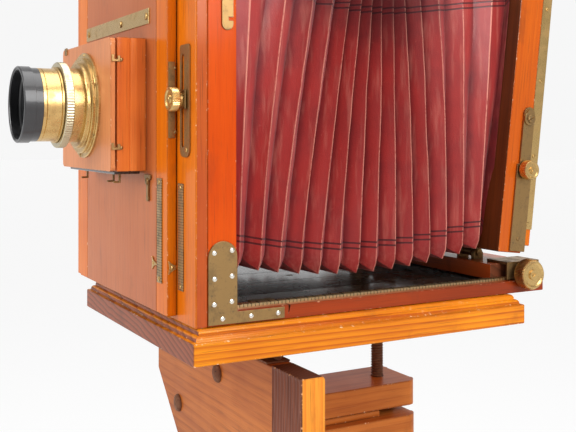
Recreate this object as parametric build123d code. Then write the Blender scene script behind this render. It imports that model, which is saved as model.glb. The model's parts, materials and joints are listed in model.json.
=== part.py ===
"""Wooden plate camera with bellows, on a tilting table and a three-legged wooden stand.

Millimetres, +Z up, the lens looks along -Y. The origin is on the floor, at the middle of the
footprint box. Shapes are drawn from the front edge of the table board (y = 0) and the centre
line of the camera (x = 0), then moved by FOOTPRINT_MID when they are written.
"""
from build123d import *
import math
import os

os.makedirs("parts", exist_ok=True)

# ---- clearances -----------------------------------------------------------------------------
SLIDE_GAP = 0.3          # between flat faces of parts that slide or turn on each other
SHAFT_GAP = 0.05         # radial, shaft in its bearing
BOLT_GAP = 0.5           # radial, bolt in a plain hole
SCREEN_GAP = 1.0         # between the tip of the tilt screw and the table board

# ---- table board ----------------------------------------------------------------------------
table_underside = 930.0  # height above the floor
board_width = 337.0      # along X
board_length = 402.0     # along Y
board_offset = 40.5      # the board sits this far to the +X side of the camera's centre line
board_face = 21.5        # plain edge below the moulding
bead_count = 2
bead_height = 5.25
bead_step = 6.0
board_thick = board_face + bead_count * bead_height
board_top = table_underside + board_thick

# ---- stand head -----------------------------------------------------------------------------
cheek_left = 196.0       # reach of the front cheek to -X
cheek_front = 119.0
cheek_thick = 28.0
cheek_top_gap = 30.0     # table board to the top of the cheek
cheek_square = 75.0      # height of the cheek's plain end above its taper
cheek_taper = 90.0       # height and width of the 45 degree taper
post_width = 62.0
post_thick = 28.0
post_front = 112.5
post_top_gap = 25.0
post_height = 118.0
arm_width = 80.0
arm_top_gap = 100.0
arm_thick = 31.0
arm_end = 380.0
arm_corner = 14.0
lower_arm_width = 104.0
lower_arm_top_gap = 139.0
lower_arm_thick = 46.0
lower_arm_end = 372.0
spacer_end = 322.0
crown_centre = 215.0
crown_apothem = 65.0
crown_thick = 66.0
coach_head_radius = 11.0
coach_head_rise = 5.0
coach_side_reach = 122.0
coach_side_drop = 134.5
coach_mid_drop = 68.0

# ---- table hinge and tilt screw ---------------------------------------------------------------
cleat_thick = 12.0
cleat_half_length = 145.0
hinge_pin_radius = 3.0
hinge_knuckle_radius = 6.0
hinge_leaf_thick = 2.0
hinge_length = 60.0
hinge_half_spacing = 95.0
tilt_screw_radius = 8.2
tilt_screw_y = 345.0
tilt_screw_drop = 232.0
tilt_nut_size = 30.0
tilt_wheel_radius = 32.0
tilt_wheel_thick = 16.0

# ---- legs -------------------------------------------------------------------------------------
foot_reach = 425.0       # from the crown's centre line to each foot
leg_width = 58.0
leg_rail_width = 15.0
leg_rail_depth = 36.0
leg_tongue = 40.0
leg_upper_length = 560.0
leg_lower_length = 520.0
leg_lower_depth = 30.0
leg_pin_radius = 5.0
leg_pin_reach = 26.0     # from the crown's face to the pin
leg_pin_drop = 38.0      # from the crown's top to the pin
leg_head_block = 60.0
leg_foot_block = 42.0
ear_thick = 4.0
shoe_radius = 17.0
shoe_height = 34.0
clamp_knob_radius = 19.0
clamp_knob_thick = 20.0
collar_wall = 2.5

# ---- camera body --------------------------------------------------------------------------------
body_width = 391.0
body_height = 404.0
body_front = 8.0         # front plane of the front frame
front_frame_thick = 12.0
front_stile = 48.0
post_depth = 30.0        # body frame behind the front frame
body_wall = 28.0
body_rail = 46.0
bed_thick = 14.0
bed_rail_width = 30.0
bed_end = 443.0
bed_hinge_y = 107.0
bed_panel_thick = 6.0
bed_cross = 30.0
lens_rise = 212.0        # lens axis above the table board
bed_panel_gap = 1.5      # under the bed boards
bracket_thick = 1.8
bracket_width = 30.0
bracket_height = 80.0
bracket_foot_length = 81.0
bracket_foot_height = 11.0
tail_leaf_length = 30.0
tail_leaf_half = 14.0
tail_leaf_thick = 1.6
fixing_radius = 5.0
fixing_knob_radius = 24.0
fixing_knob_thick = 18.0
fixing_neck_radius = 13.0
fixing_knob_drop = 4.0

# ---- rising front -----------------------------------------------------------------------------
outer_width = 297.0
outer_thick = 9.7
outer_stile = 30.0
outer_back = 4.4
outer_light = 150.0
inner_thick = 5.0
panel_foot_gap = 4.0
panel_height = 372.0
lens_box_width = 180.0
lens_box_height = 136.0
lens_box_depth = 31.0
lens_box_wall = 12.0
lens_board_thick = 5.0
lens_board_gap = 1.6
lens_hole = 42.0
latch_x = 98.0
latch_drop = 10.0
latch_thick = 2.2
scale_width = 13.0
scale_height = 103.0
scale_thick = 1.2
scale_mid = 86.0         # above the table board
slot_plate_width = 30.0
slot_plate_height = 107.0
slot_plate_thick = 2.0
slot_width = 7.0
slot_plate_x = 168.0
slot_plate_mid = 212.5   # above the table board
slot_plate_cut = 8.0     # the plate's inner edge is cut back by this
slot_margin = 12.0       # from each end of the plate to the slot
lug_thick = 1.6
lug_depth = 5.0
lug_half_height = 37.0
lug_arm_half = 9.0
lug_arm_reach = 10.0
stud_radius = 2.8
stud_reach = 6.0
stud_rise = 2.0          # above the lens axis
thumb_neck = 4.0
thumb_bore = 6.5
strip_left = -118.0
strip_right = 100.0
strip_foot = 293.0       # above the table board
strip_top = 309.0
thumb_radius = 11.5
thumb_thick = 12.0

# ---- lens ---------------------------------------------------------------------------------------
flange_radius = 57.0
flange_thick = 3.0
rear_barrel_radius = 44.0
barrel_radius = 39.0
barrel_wall = 3.0
iris_ring_radius = 46.0
iris_ring_thick = 9.0
hood_radius = 40.5
hood_length = 20.0
lens_reach = 73.5        # flange face to the front of the hood
glass_radius = 33.0
glass_thick = 9.0

# ---- bellows and back -----------------------------------------------------------------------------
bellows_width = 318.0
bellows_height = 300.0
bellows_wall = 6.0
bellows_gap = 1.0
carriage_front = 378.0
carriage_end = 440.0
carriage_rise = 18.0
rack_width = 7.0
rack_inset = 8.0
rack_height = 2.6
tooth_pitch = 2.618
tooth_depth = 1.0
pinion_teeth = 12
pinion_y = 412.0
pinion_rise = 22.2       # pinion axis above the table board
pinion_shaft_radius = 2.5
focus_knob_radius = 16.0
focus_knob_thick = 13.0
tilt_axis_y = 398.0
tilt_axis_rise = 40.0
back_lean = 7.0          # degrees from upright, towards +Y
back_front = 24.0        # ahead of the tilt axis
back_frame_thick = 34.0
back_stile = 30.0
back_rail = 34.0
back_foot_gap = 6.0
back_height = 360.0
tilt_pin_radius = 4.0
screen_thick = 13.5
screen_stile = 58.0
screen_glass_thick = 3.0
screen_hinge_radius = 3.5
strut_width = 16.0
strut_thick = 2.5
strut_top = 165.0        # above the tilt axis
lock_knob_rise = 101.0
lock_knob_radius = 11.0
lock_knob_thick = 12.0
strut_wide = 22.0
strut_foot = 8.0         # above the tilt axis
strut_stud_radius = 5.5
strut_stud_rise = 2.5
lock_shaft_radius = 3.0
carriage_cheek = 3.0
eye_spacing = 120.0
eye_half = 9.0
lug_starts = (-16.0, 10.0)
lug_width = 6.0
tilt_lug_half = 7.0
tilt_pin_half = 18.0
screen_hinge_x = 90.0
screen_leaf_half = 12.0
screen_cup_reach = 24.0
screen_pin_radius = 1.5
glass_lap = 5.0
edge_strip_thick = 1.6
edge_strip_foot = 24.0
edge_strip_top = 12.0

# ---- what follows from them -----------------------------------------------------------------------
cheek_rear = cheek_front + cheek_thick
cheek_top = table_underside - cheek_top_gap
arm_top = table_underside - arm_top_gap
arm_foot = arm_top - arm_thick
lower_arm_top = table_underside - lower_arm_top_gap
lower_arm_foot = lower_arm_top - lower_arm_thick
crown_top = lower_arm_foot
board_right = board_offset + board_width / 2
board_left = board_offset - board_width / 2
post_right = board_right
post_left = post_right - post_width
table_hinge_y = cheek_front + cheek_thick / 2
table_hinge_z = (cheek_top + table_underside - cleat_thick) / 2
base = board_top + SLIDE_GAP
half_body = body_width / 2
frame_rear = body_front + front_frame_thick
body_rear = frame_rear + post_depth
bed_top = base + bed_thick
lens_axis_z = board_top + lens_rise
outer_front = body_front - SLIDE_GAP - outer_thick
panel_foot = base + panel_foot_gap
panel_top = panel_foot + panel_height
half_outer = outer_width / 2
half_inner = half_outer - outer_stile
box_rear = outer_front
box_front = box_rear - lens_box_depth
lens_board_rear = box_front - lens_board_gap
lens_board_front = lens_board_rear - lens_board_thick
lens_front = lens_board_front - lens_reach
pinion_radius = tooth_pitch * pinion_teeth / (2 * math.pi)
pinion_z = board_top + pinion_rise
rack_tip = pinion_z - pinion_radius + tooth_depth / 2
rack_x = half_body - rack_inset - rack_width / 2
tilt_axis_z = board_top + tilt_axis_rise
bellows_front = body_rear + bellows_gap
bellows_mid_z = lens_axis_z
bellows_rear = tilt_axis_y - back_front - bellows_gap
leg_pin_radius_out = crown_apothem + leg_pin_reach
leg_pin_z = crown_top - leg_pin_drop
leg_run = foot_reach - leg_pin_radius_out
leg_splay = math.degrees(math.atan2(leg_run, leg_pin_z - shoe_radius))
leg_length = math.hypot(leg_run, leg_pin_z - shoe_radius)
LEGS = {"front": 0.0, "right": 120.0, "left": 240.0}
front_reach = crown_centre - foot_reach - shoe_radius
back_top_reach = (back_height + back_foot_gap) * math.sin(math.radians(back_lean))
back_rear = back_frame_thick - back_front + SLIDE_GAP + screen_thick
rear_reach = tilt_axis_y + back_top_reach + back_rear * math.cos(math.radians(back_lean))
FOOTPRINT_MID = (front_reach + rear_reach) / 2


def save(name, *shapes):
    """Move the shapes to the floor origin and write them as one node."""
    moved = [shape.moved(Location((0, -FOOTPRINT_MID, 0))) for shape in shapes]
    solids = [solid for shape in moved for solid in shape.solids()]
    export_step(Compound(children=solids) if len(solids) > 1 else solids[0], f"parts/{name}.step")


def block(x0, x1, y0, y1, z0, z1):
    """A box between two corners."""
    return Pos((x0 + x1) / 2, (y0 + y1) / 2, (z0 + z1) / 2) * Box(x1 - x0, y1 - y0, z1 - z0)


def rod(axis, radius, start, end, centre):
    """A cylinder along "x", "y" or "z" from start to end; centre gives the other two places."""
    length = end - start
    middle = (start + end) / 2
    if axis == "x":
        return Pos(middle, centre[0], centre[1]) * Rot(0, 90, 0) * Cylinder(radius, length)
    if axis == "y":
        return Pos(centre[0], middle, centre[1]) * Rot(90, 0, 0) * Cylinder(radius, length)
    return Pos(centre[0], centre[1], middle) * Cylinder(radius, length)


def both_sides(shape):
    """The shape and its mirror image across the camera's centre plane."""
    return [shape, shape.mirror(Plane.YZ)]


def ring_frame(half_width, y0, y1, z0, z1, stile, foot, head):
    """An upright rectangular frame with side stiles, a foot rail and a head rail."""
    outer = block(-half_width, half_width, y0, y1, z0, z1)
    hole = block(-half_width + stile, half_width - stile, y0 - 1, y1 + 1, z0 + foot, z1 - head)
    return outer - hole


def knob(radius, thick, axis, start, centre, shaft=0.0, shaft_end=0.0):
    """A milled knob with a raised centre, and its shaft when one is given."""
    sign = 1 if thick > 0 else -1
    rim = rod(axis, radius, min(start, start + thick), max(start, start + thick), centre)
    boss_end = start + thick + sign * 1.5
    boss = rod(axis, radius * 0.35, min(start, boss_end), max(start, boss_end), centre)
    shape = rim + boss
    if shaft:
        shape += rod(axis, shaft, min(start, shaft_end), max(start, shaft_end), centre)
    return shape


# ---- stand head -------------------------------------------------------------------------------------
def cheek():
    foot = cheek_top - cheek_square - cheek_taper
    knee = cheek_top - cheek_square
    with BuildPart() as part:
        with BuildSketch(Plane.XZ.offset(-cheek_rear)):
            with BuildLine():
                Polyline(
                    (-cheek_left, cheek_top),
                    (-cheek_left, knee),
                    (-cheek_left + cheek_taper, foot),
                    (cheek_left - cheek_taper, foot),
                    (cheek_left - cheek_taper + (knee - foot) * 0.5, knee - (knee - foot) * 0.5),
                    (post_left, knee - (knee - foot) * 0.5),
                    (post_left, cheek_top),
                    close=True,
                )
            make_face()
        extrude(amount=cheek_thick)
    return part.part


def side_post():
    top = table_underside - post_top_gap
    shape = block(post_left, post_right, post_front, post_front + post_thick, top - post_height, top)
    return chamfer(shape.edges().group_by(Axis.Z)[-1].sort_by(Axis.Y)[-1], 3.0)


def arm(width, top, foot, start, end, corner):
    shape = block(-width / 2, width / 2, start, end, foot, top)
    return fillet(shape.edges().filter_by(Axis.Z).group_by(Axis.Y)[-1], corner)


def screw_hole(radius, foot, top):
    return rod("z", radius, foot - 1, top + 1, (0, tilt_screw_y))


def stand_head():
    screw_way = tilt_screw_radius + BOLT_GAP
    save("head_cheek", cheek())
    save("head_side_post", side_post())
    upper = arm(arm_width, arm_top, arm_foot, cheek_rear, arm_end, arm_corner)
    save("head_upper_arm", upper - screw_hole(screw_way, arm_foot, arm_top))
    lower = arm(lower_arm_width, lower_arm_top, lower_arm_foot, cheek_rear, lower_arm_end, arm_corner)
    spacer = block(-arm_width / 2, arm_width / 2, cheek_rear, spacer_end, lower_arm_top, arm_foot)
    save("head_lower_arm", lower - screw_hole(screw_way, lower_arm_foot, lower_arm_top), spacer)
    nut_half = tilt_nut_size / 2
    nut = block(-nut_half, nut_half, tilt_screw_y - nut_half, tilt_screw_y + nut_half, lower_arm_top, arm_foot)
    save("tilt_screw_nut", nut - screw_hole(tilt_screw_radius + SHAFT_GAP, lower_arm_top, arm_foot))
    bolts = []
    places = ((0, coach_mid_drop), (-coach_side_reach, coach_side_drop), (coach_side_reach, coach_side_drop))
    for x, drop in places:
        z = table_underside - drop
        head = Pos(x, cheek_front, z) * Rot(90, 0, 0) * Cylinder(coach_head_radius, coach_head_rise,
                                                                 align=(Align.CENTER, Align.CENTER, Align.MIN))
        bolts.append(fillet(head.edges().group_by(Axis.Y)[0], coach_head_rise * 0.8))
    save("head_coach_bolts", *bolts)


def crown():
    across = crown_apothem / math.cos(math.pi / 6)
    foot = crown_top - crown_thick
    shape = Pos(0, crown_centre, foot) * extrude(RegularPolygon(across, 6, rotation=0), crown_thick)
    save("stand_crown", chamfer(shape.edges().group_by(Axis.Z)[0], 4.0))


def around_crown(shape, bearing):
    """Turn a shape drawn for the front leg to another leg's bearing."""
    return shape.rotate(Axis((0, crown_centre, 0), (0, 0, 1)), bearing)


def leg_bracket():
    """A plate on the crown's face with two ears that carry the pin."""
    half = leg_tongue / 2 + SLIDE_GAP
    face = crown_centre - crown_apothem
    pin_y = face - leg_pin_reach
    ear_half = 13.0
    foot, top = leg_pin_z - ear_half, leg_pin_z + ear_half
    shape = block(-half - ear_thick, half + ear_thick, face - ear_thick, face, foot, top)
    for side in (-1, 1):
        x0 = min(side * half, side * (half + ear_thick))
        ear = block(x0, x0 + ear_thick, pin_y, face - ear_thick, foot, top)
        ear += rod("x", ear_half, x0, x0 + ear_thick, (pin_y, leg_pin_z))
        shape += ear
    return shape - rod("x", leg_pin_radius, -half - ear_thick - 1, half + ear_thick + 1, (pin_y, leg_pin_z))


def leg_pin():
    pin_y = crown_centre - crown_apothem - leg_pin_reach
    half = leg_tongue / 2 + SLIDE_GAP + ear_thick
    shape = rod("x", leg_pin_radius, -half, half, (pin_y, leg_pin_z))
    for side in (-1, 1):
        end = side * (half + 5)
        start, stop = min(side * half, end), max(side * half, end)
        shape += rod("x", leg_pin_radius * 1.6, start, stop, (pin_y, leg_pin_z))
    return shape


# ---- legs: drawn hanging straight down from the pin, then splayed and turned ----------------------------
def leg_upper():
    half = leg_width / 2
    rail_inner = half - leg_rail_width
    depth = leg_rail_depth / 2
    shape = None
    for side in (-1, 1):
        x0 = min(side * rail_inner, side * half)
        rail = block(x0, x0 + leg_rail_width, -depth, depth, -leg_upper_length, -30)
        shape = rail if shape is None else shape + rail
    shape += block(-half, half, -depth, depth, -30 - leg_head_block, -30)
    tongue_half = leg_tongue / 2
    shape += block(-tongue_half, tongue_half, -depth, depth, -31, 0)
    shape += rod("x", depth, -tongue_half, tongue_half, (0, 0))
    return shape - rod("x", leg_pin_radius + SHAFT_GAP, -half, half, (0, 0))


def leg_lower():
    half = leg_width / 2 - leg_rail_width - SLIDE_GAP
    depth = leg_lower_depth / 2
    foot = -leg_length + shoe_radius
    return block(-half, half, -depth, depth, foot, foot + leg_lower_length)


def leg_shoe():
    half = leg_width / 2 - leg_rail_width - SLIDE_GAP
    ball = Pos(0, 0, -leg_length) * Sphere(shoe_radius)
    cup = rod("z", shoe_radius, -leg_length, -leg_length + shoe_height, (0, 0))
    slat = block(-half, half, -leg_lower_depth / 2, leg_lower_depth / 2,
                 -leg_length + shoe_radius, -leg_length + shoe_height + 1)
    return ball + cup - slat


def leg_collar():
    """A brass band around the rails' lower ends, which the clamp screw passes through."""
    half = leg_width / 2
    depth = leg_rail_depth / 2
    wall = collar_wall
    top = -leg_upper_length + leg_foot_block
    foot = -leg_upper_length
    shape = block(-half - wall, half + wall, -depth - wall, depth + wall, foot, top)
    shape -= block(-half, half, -depth, depth, foot - 1, top + 1)
    clamp_z = (foot + top) / 2
    return shape - rod("y", stud_radius + SHAFT_GAP, -depth - wall - 1, -depth + 1, (0, clamp_z))


def leg_clamp():
    """The clamp screw of a leg, with its knob."""
    depth = leg_rail_depth / 2
    clamp_z = -leg_upper_length + leg_foot_block / 2
    tip = -leg_lower_depth / 2 - SLIDE_GAP
    start = -depth - collar_wall - 2.0
    return knob(clamp_knob_radius, -clamp_knob_thick, "y", start, (0, clamp_z), stud_radius, tip)


def place_leg(shape, bearing):
    splayed = shape.rotate(Axis.X, -leg_splay)
    set_down = splayed.moved(Location((0, crown_centre - leg_pin_radius_out, leg_pin_z)))
    return around_crown(set_down, bearing)


def legs():
    irons = [leg_bracket(), leg_pin()]
    save("leg_brackets", *[around_crown(iron, bearing) for bearing in LEGS.values() for iron in irons])
    for name, bearing in LEGS.items():
        save(f"leg_{name}_upper", place_leg(leg_upper(), bearing), place_leg(leg_collar(), bearing))
        save(f"leg_{name}_lower", place_leg(leg_lower(), bearing), place_leg(leg_shoe(), bearing))
        save(f"leg_{name}_clamp", place_leg(leg_clamp(), bearing))


# ---- table ---------------------------------------------------------------------------------------------
def fixing_hole(foot, top):
    """The way of the camera's fixing screw through a board."""
    return rod("z", fixing_radius + BOLT_GAP, foot - 1, top + 1, (0, crown_centre))


def table():
    shape = block(board_left, board_right, 0, board_length, table_underside, table_underside + board_face)
    for bead in range(bead_count):
        inset = (bead + 1) * bead_step
        foot = table_underside + board_face + bead * bead_height
        tier = block(board_left + inset, board_right - inset, inset, board_length - inset,
                     foot, foot + bead_height)
        shape += fillet(tier.edges().group_by(Axis.Z)[-1], bead_height * 0.8)
    save("table_board", shape - fixing_hole(table_underside, board_top))
    cleat_foot = table_underside - cleat_thick
    save("table_cleat", block(-cleat_half_length, cleat_half_length, cheek_front, cheek_rear,
                              cleat_foot, table_underside))


def table_hinges():
    """Two butt hinges: the outer knuckles belong to the table, the middle one to the cheek."""
    third = hinge_length / 3
    cleat_foot = table_underside - cleat_thick
    centre = (table_hinge_y, table_hinge_z)
    reach = cheek_thick / 2
    uppers, lowers, pins = [], [], []
    for middle in (-hinge_half_spacing, hinge_half_spacing):
        start, end = middle - hinge_length / 2, middle + hinge_length / 2
        bore = rod("x", hinge_pin_radius + SHAFT_GAP, start - 1, end + 1, centre)
        front, rear = table_hinge_y - reach, table_hinge_y + reach
        upper = block(start, end, front, rear, cleat_foot - hinge_leaf_thick, cleat_foot)
        for k0 in (start, end - third):
            upper += rod("x", hinge_knuckle_radius, k0, k0 + third, centre)
            upper += block(k0, k0 + third, table_hinge_y - 3, table_hinge_y + 3, table_hinge_z, cleat_foot)
        middle_start, middle_end = start + third + SLIDE_GAP, end - third - SLIDE_GAP
        lower = block(start, end, front, rear, cheek_top, cheek_top + hinge_leaf_thick)
        lower += rod("x", hinge_knuckle_radius, middle_start, middle_end, centre)
        lower += block(middle_start, middle_end, table_hinge_y - 3, table_hinge_y + 3, cheek_top, table_hinge_z)
        uppers.append(upper - bore)
        lowers.append(lower - rod("x", hinge_pin_radius, start - 1, end + 1, centre))
        pins.append(rod("x", hinge_pin_radius, start - 2, end + 2, centre))
    save("table_hinge_leaves", *uppers)
    save("cheek_hinge_leaves", *lowers, *pins)


def tilt_screw():
    top = table_underside - SCREEN_GAP
    foot = table_underside - tilt_screw_drop
    shaft = rod("z", tilt_screw_radius, foot, top, (0, tilt_screw_y))
    shaft = chamfer(shaft.edges().group_by(Axis.Z)[-1], 1.5)
    wheel = Pos(0, tilt_screw_y, foot - tilt_wheel_thick) * Cylinder(
        tilt_wheel_radius, tilt_wheel_thick, align=(Align.CENTER, Align.CENTER, Align.MIN))
    for turn in range(6):
        turned = Pos(0, tilt_screw_y, foot - tilt_wheel_thick / 2) * Rot(0, 0, 60 * turn)
        wheel -= turned * Pos(tilt_wheel_radius + 5, 0, 0) * Cylinder(12, tilt_wheel_thick + 2)
    save("tilt_screw", shaft, wheel)


# ---- camera body ------------------------------------------------------------------------------------------
def body():
    top = base + body_height
    frame = ring_frame(half_body, body_front, frame_rear, base, top, front_stile, body_rail + 22, body_rail)
    save("front_frame", fillet(frame.edges().filter_by(Axis.Z).group_by(Axis.Y)[0].sort_by(Axis.X)[0::3], 2.0))
    save("body_frame", ring_frame(half_body, frame_rear, body_rear, base, top, body_wall, body_rail, body_wall))
    inner = half_body - bed_rail_width
    rail = block(inner, half_body, body_rear, bed_end, base, bed_top)
    hinge_cut = block(inner - 1, half_body + 1, bed_hinge_y - 0.4, bed_hinge_y + 0.4, bed_top - 9, bed_top + 1)
    end_rail = block(-inner, inner, bed_end - bed_cross, bed_end, base, bed_top - 2)
    save("bed_rails", *both_sides(rail - hinge_cut), end_rail)
    panel_foot_z = base + bed_panel_gap
    hole = rod("z", fixing_radius, panel_foot_z - 1, panel_foot_z + bed_panel_thick + 1, (0, crown_centre))
    panel = block(-inner, inner, body_rear, bed_end - bed_cross, panel_foot_z, panel_foot_z + bed_panel_thick)
    save("bed_panel", panel - hole)


def racks():
    """A toothed strip on each bed rail."""
    start, end = body_rear + 4, bed_end - 3
    root = rack_tip - tooth_depth
    phase = pinion_y % tooth_pitch
    strips = []
    with BuildPart() as part:
        with BuildSketch(Plane.YZ.offset(rack_x - rack_width / 2)):
            with BuildLine():
                points = [(end, root), (end, bed_top), (start, bed_top), (start, root)]
                first = math.ceil((start + tooth_pitch - phase) / tooth_pitch)
                last = math.floor((end - tooth_pitch - phase) / tooth_pitch)
                for tooth in range(first, last):
                    gap_middle = tooth * tooth_pitch + phase
                    middle = gap_middle + tooth_pitch / 2
                    points += [(middle + offset, z) for offset, z in
                               ((-0.62, root), (-0.34, rack_tip), (0.34, rack_tip), (0.62, root))]
                Polyline(*points, close=True)
            make_face()
        extrude(amount=rack_width)
    save("focus_racks", *both_sides(part.part))


def corner_brackets():
    """Brass L brackets at the foot of the body, and the leaves of the tailboard's hinges."""
    y0 = frame_rear
    radius = bracket_width / 2
    foot_z = base + bed_panel_gap
    head_z = base + bracket_height - radius
    outer = half_body + bracket_thick
    upright = block(half_body, outer, y0, y0 + bracket_width, foot_z, head_z)
    upright += rod("x", radius, half_body, outer, (y0 + radius, head_z))
    foot = block(half_body, outer, y0, y0 + bracket_foot_length, foot_z, foot_z + bracket_foot_height)
    leaf_end = half_body - bed_rail_width - 4
    leaf_z = foot_z + bed_panel_thick
    leaf = block(leaf_end - tail_leaf_length, leaf_end, bed_hinge_y - tail_leaf_half,
                 bed_hinge_y + tail_leaf_half, leaf_z, leaf_z + tail_leaf_thick)
    save("body_brackets", *both_sides(upright + foot), *both_sides(leaf))


def fixing_screw():
    """The screw that holds the camera down on the table, with its knob below."""
    knob_top = table_underside - fixing_knob_drop
    centre = (0, crown_centre)
    shape = rod("z", fixing_radius - SHAFT_GAP, knob_top, base + bed_panel_gap + bed_panel_thick, centre)
    shape += rod("z", fixing_knob_radius, knob_top - fixing_knob_thick, knob_top, centre)
    shape += rod("z", fixing_neck_radius, knob_top, table_underside - SLIDE_GAP, centre)
    save("fixing_screw", shape)


# ---- rising front -----------------------------------------------------------------------------------------
def outer_panel():
    rear = outer_front + outer_thick
    back = block(-half_outer, half_outer, rear - outer_back, rear, panel_foot, panel_top)
    light = outer_light / 2
    back -= block(-light, light, rear - outer_back - 1, rear + 1, lens_axis_z - light, lens_axis_z + light)
    shape = back
    for side in (-1, 1):
        x0 = min(side * (half_inner + SLIDE_GAP), side * half_outer)
        shape += block(x0, x0 + outer_stile - SLIDE_GAP, outer_front, rear, panel_foot, panel_top)
    save("outer_rising_panel", shape)


def slot_plates():
    """A slotted brass plate on each front post."""
    plate_front = body_front - slot_plate_thick
    mid = board_top + slot_plate_mid
    half = slot_plate_height / 2
    inner_edge = slot_plate_x - slot_plate_width / 2 + slot_plate_cut
    plate = block(inner_edge, slot_plate_x + slot_plate_width / 2, plate_front, body_front,
                  mid - half, mid + half)
    slot_half = half - slot_margin
    slot = block(slot_plate_x - slot_width / 2, slot_plate_x + slot_width / 2,
                 plate_front - 1, body_front + 1, mid - slot_half, mid + slot_half)
    save("front_slot_plates", *both_sides(plate - slot), frame_scale())


def lugs_and_nuts():
    """The rising panel's brass lugs with their studs, and the thumb nuts on the studs."""
    lug_rear = body_front - slot_plate_thick - SLIDE_GAP
    lug_front = lug_rear - lug_thick
    stud_z = lens_axis_z + stud_rise
    centre = (slot_plate_x, stud_z)
    lug = block(half_outer, half_outer + lug_thick, lug_front - lug_depth, lug_rear,
                stud_z - lug_half_height, stud_z + lug_half_height)
    lug += block(half_outer, slot_plate_x + lug_arm_reach, lug_front, lug_rear,
                 stud_z - lug_arm_half, stud_z + lug_arm_half)
    hole = rod("y", stud_radius, lug_front - 1, lug_rear + 1, centre)
    stud = rod("y", stud_radius, lug_front - stud_reach, body_front - SLIDE_GAP, centre)
    save("front_lugs", *both_sides(lug - hole), *both_sides(stud), panel_scale())
    nut_rear = lug_front - SLIDE_GAP
    nut = rod("y", thumb_radius, nut_rear - thumb_thick, nut_rear - thumb_neck, centre)
    nut += rod("y", thumb_radius * 0.6, nut_rear - thumb_neck, nut_rear, centre)
    nut -= rod("y", stud_radius + SHAFT_GAP, nut_rear - thumb_bore, nut_rear + 1, centre)
    save("thumb_nut_right", nut)
    save("thumb_nut_left", nut.mirror(Plane.YZ))


def inner_panel():
    rear = outer_front + inner_thick
    shape = block(-half_inner, half_inner, outer_front, rear, panel_foot, panel_top)
    shape -= rod("y", lens_hole, outer_front - 1, rear + 1, (0, lens_axis_z))
    save("inner_rising_panel", shape)
    front = outer_front - scale_thick
    return block(strip_left, strip_right, front, outer_front, board_top + strip_foot, board_top + strip_top)


def graduated_strip(x, face, middle):
    """A thin brass scale let in against a front face."""
    half = scale_height / 2
    return block(x, x + scale_width, face - scale_thick, face, middle - half, middle + half)


def panel_scale():
    return graduated_strip(half_inner + SLIDE_GAP + 4, outer_front, board_top + scale_mid)


def frame_scale():
    return graduated_strip(half_outer + 5, body_front, board_top + scale_mid - 4)


def lens_box(panel_strip):
    z0, z1 = lens_axis_z - lens_box_height / 2 - 1, lens_axis_z + lens_box_height / 2 - 1
    half = lens_box_width / 2
    shape = block(-half, half, box_front, box_rear, z0, z1)
    shape -= block(-half + lens_box_wall, half - lens_box_wall, box_front - 1, box_rear + 1,
                   z0 + lens_box_wall, z1 - lens_box_wall)
    board = block(-half, half, lens_board_front, lens_board_rear, z0, z1)
    board = fillet(board.edges().filter_by(Axis.Y), 6.0)
    save("lens_board", board - rod("y", lens_hole, lens_board_front - 1, lens_board_rear + 1, (0, lens_axis_z)))
    pin_x = half - lens_box_wall / 2
    corners = [(x, z) for x in (-pin_x, pin_x) for z in (z0 + 22, z1 - 22)]
    pins = [rod("y", 2.0, lens_board_rear, box_front, corner) for corner in corners]
    foot_strip = block(-half + 8, half - 8, box_front, box_rear - 4, z0 - 3, z0)
    save("lens_box_fittings", *pins, foot_strip, panel_strip)
    save("lens_box", shape)
    return z0


def box_turn_latch(box_foot):
    """A turn button on the panel, below the box's near corner."""
    z = box_foot - latch_drop
    front = outer_front - latch_thick
    rear = outer_front - SLIDE_GAP
    latch = block(latch_x - 3.5, latch_x + 3.5, front, rear, z - 20, z)
    latch += rod("y", 7.0, front, rear, (latch_x, z))
    latch += rod("y", 2.6, front - 2.0, rear, (latch_x, z))
    save("box_turn_latch", latch)


# ---- lens -------------------------------------------------------------------------------------------------
def tube(outer, inner, y0, y1):
    centre = (0, lens_axis_z)
    return rod("y", outer, y0, y1, centre) - rod("y", inner, y0 - 1, y1 + 1, centre)


def lens():
    bore = barrel_radius - barrel_wall
    flange_front = lens_board_front - flange_thick
    step = 4.0
    flange = tube(flange_radius, bore, flange_front, lens_board_front)
    flange += tube(flange_radius - 5, bore, flange_front - step, flange_front)
    flange += tube(rear_barrel_radius + 2, bore, flange_front - 2 * step, flange_front - step)
    save("lens_flange", flange)
    barrel_rear = flange_front - 2 * step
    ring_rear = barrel_rear - 12
    ring_front = ring_rear - iris_ring_thick
    rear = tube(rear_barrel_radius - 4, bore, ring_rear, barrel_rear)
    seat = tube(barrel_radius, bore, ring_front - 2, ring_rear)
    hood_rear = lens_front + hood_length
    barrel = tube(barrel_radius, bore, hood_rear, ring_front - 2)
    save("lens_barrel", rear + seat + barrel)
    save("iris_ring", tube(iris_ring_radius, barrel_radius + SHAFT_GAP, ring_front, ring_rear - SLIDE_GAP))
    hood = tube(hood_radius, bore - 1, lens_front, hood_rear)
    save("lens_hood", hood)
    centre = (0, lens_axis_z)
    front_glass = rod("y", bore, hood_rear, hood_rear + glass_thick, centre)
    save("lens_glasses", front_glass, rod("y", bore, barrel_rear - glass_thick, barrel_rear, centre))


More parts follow.
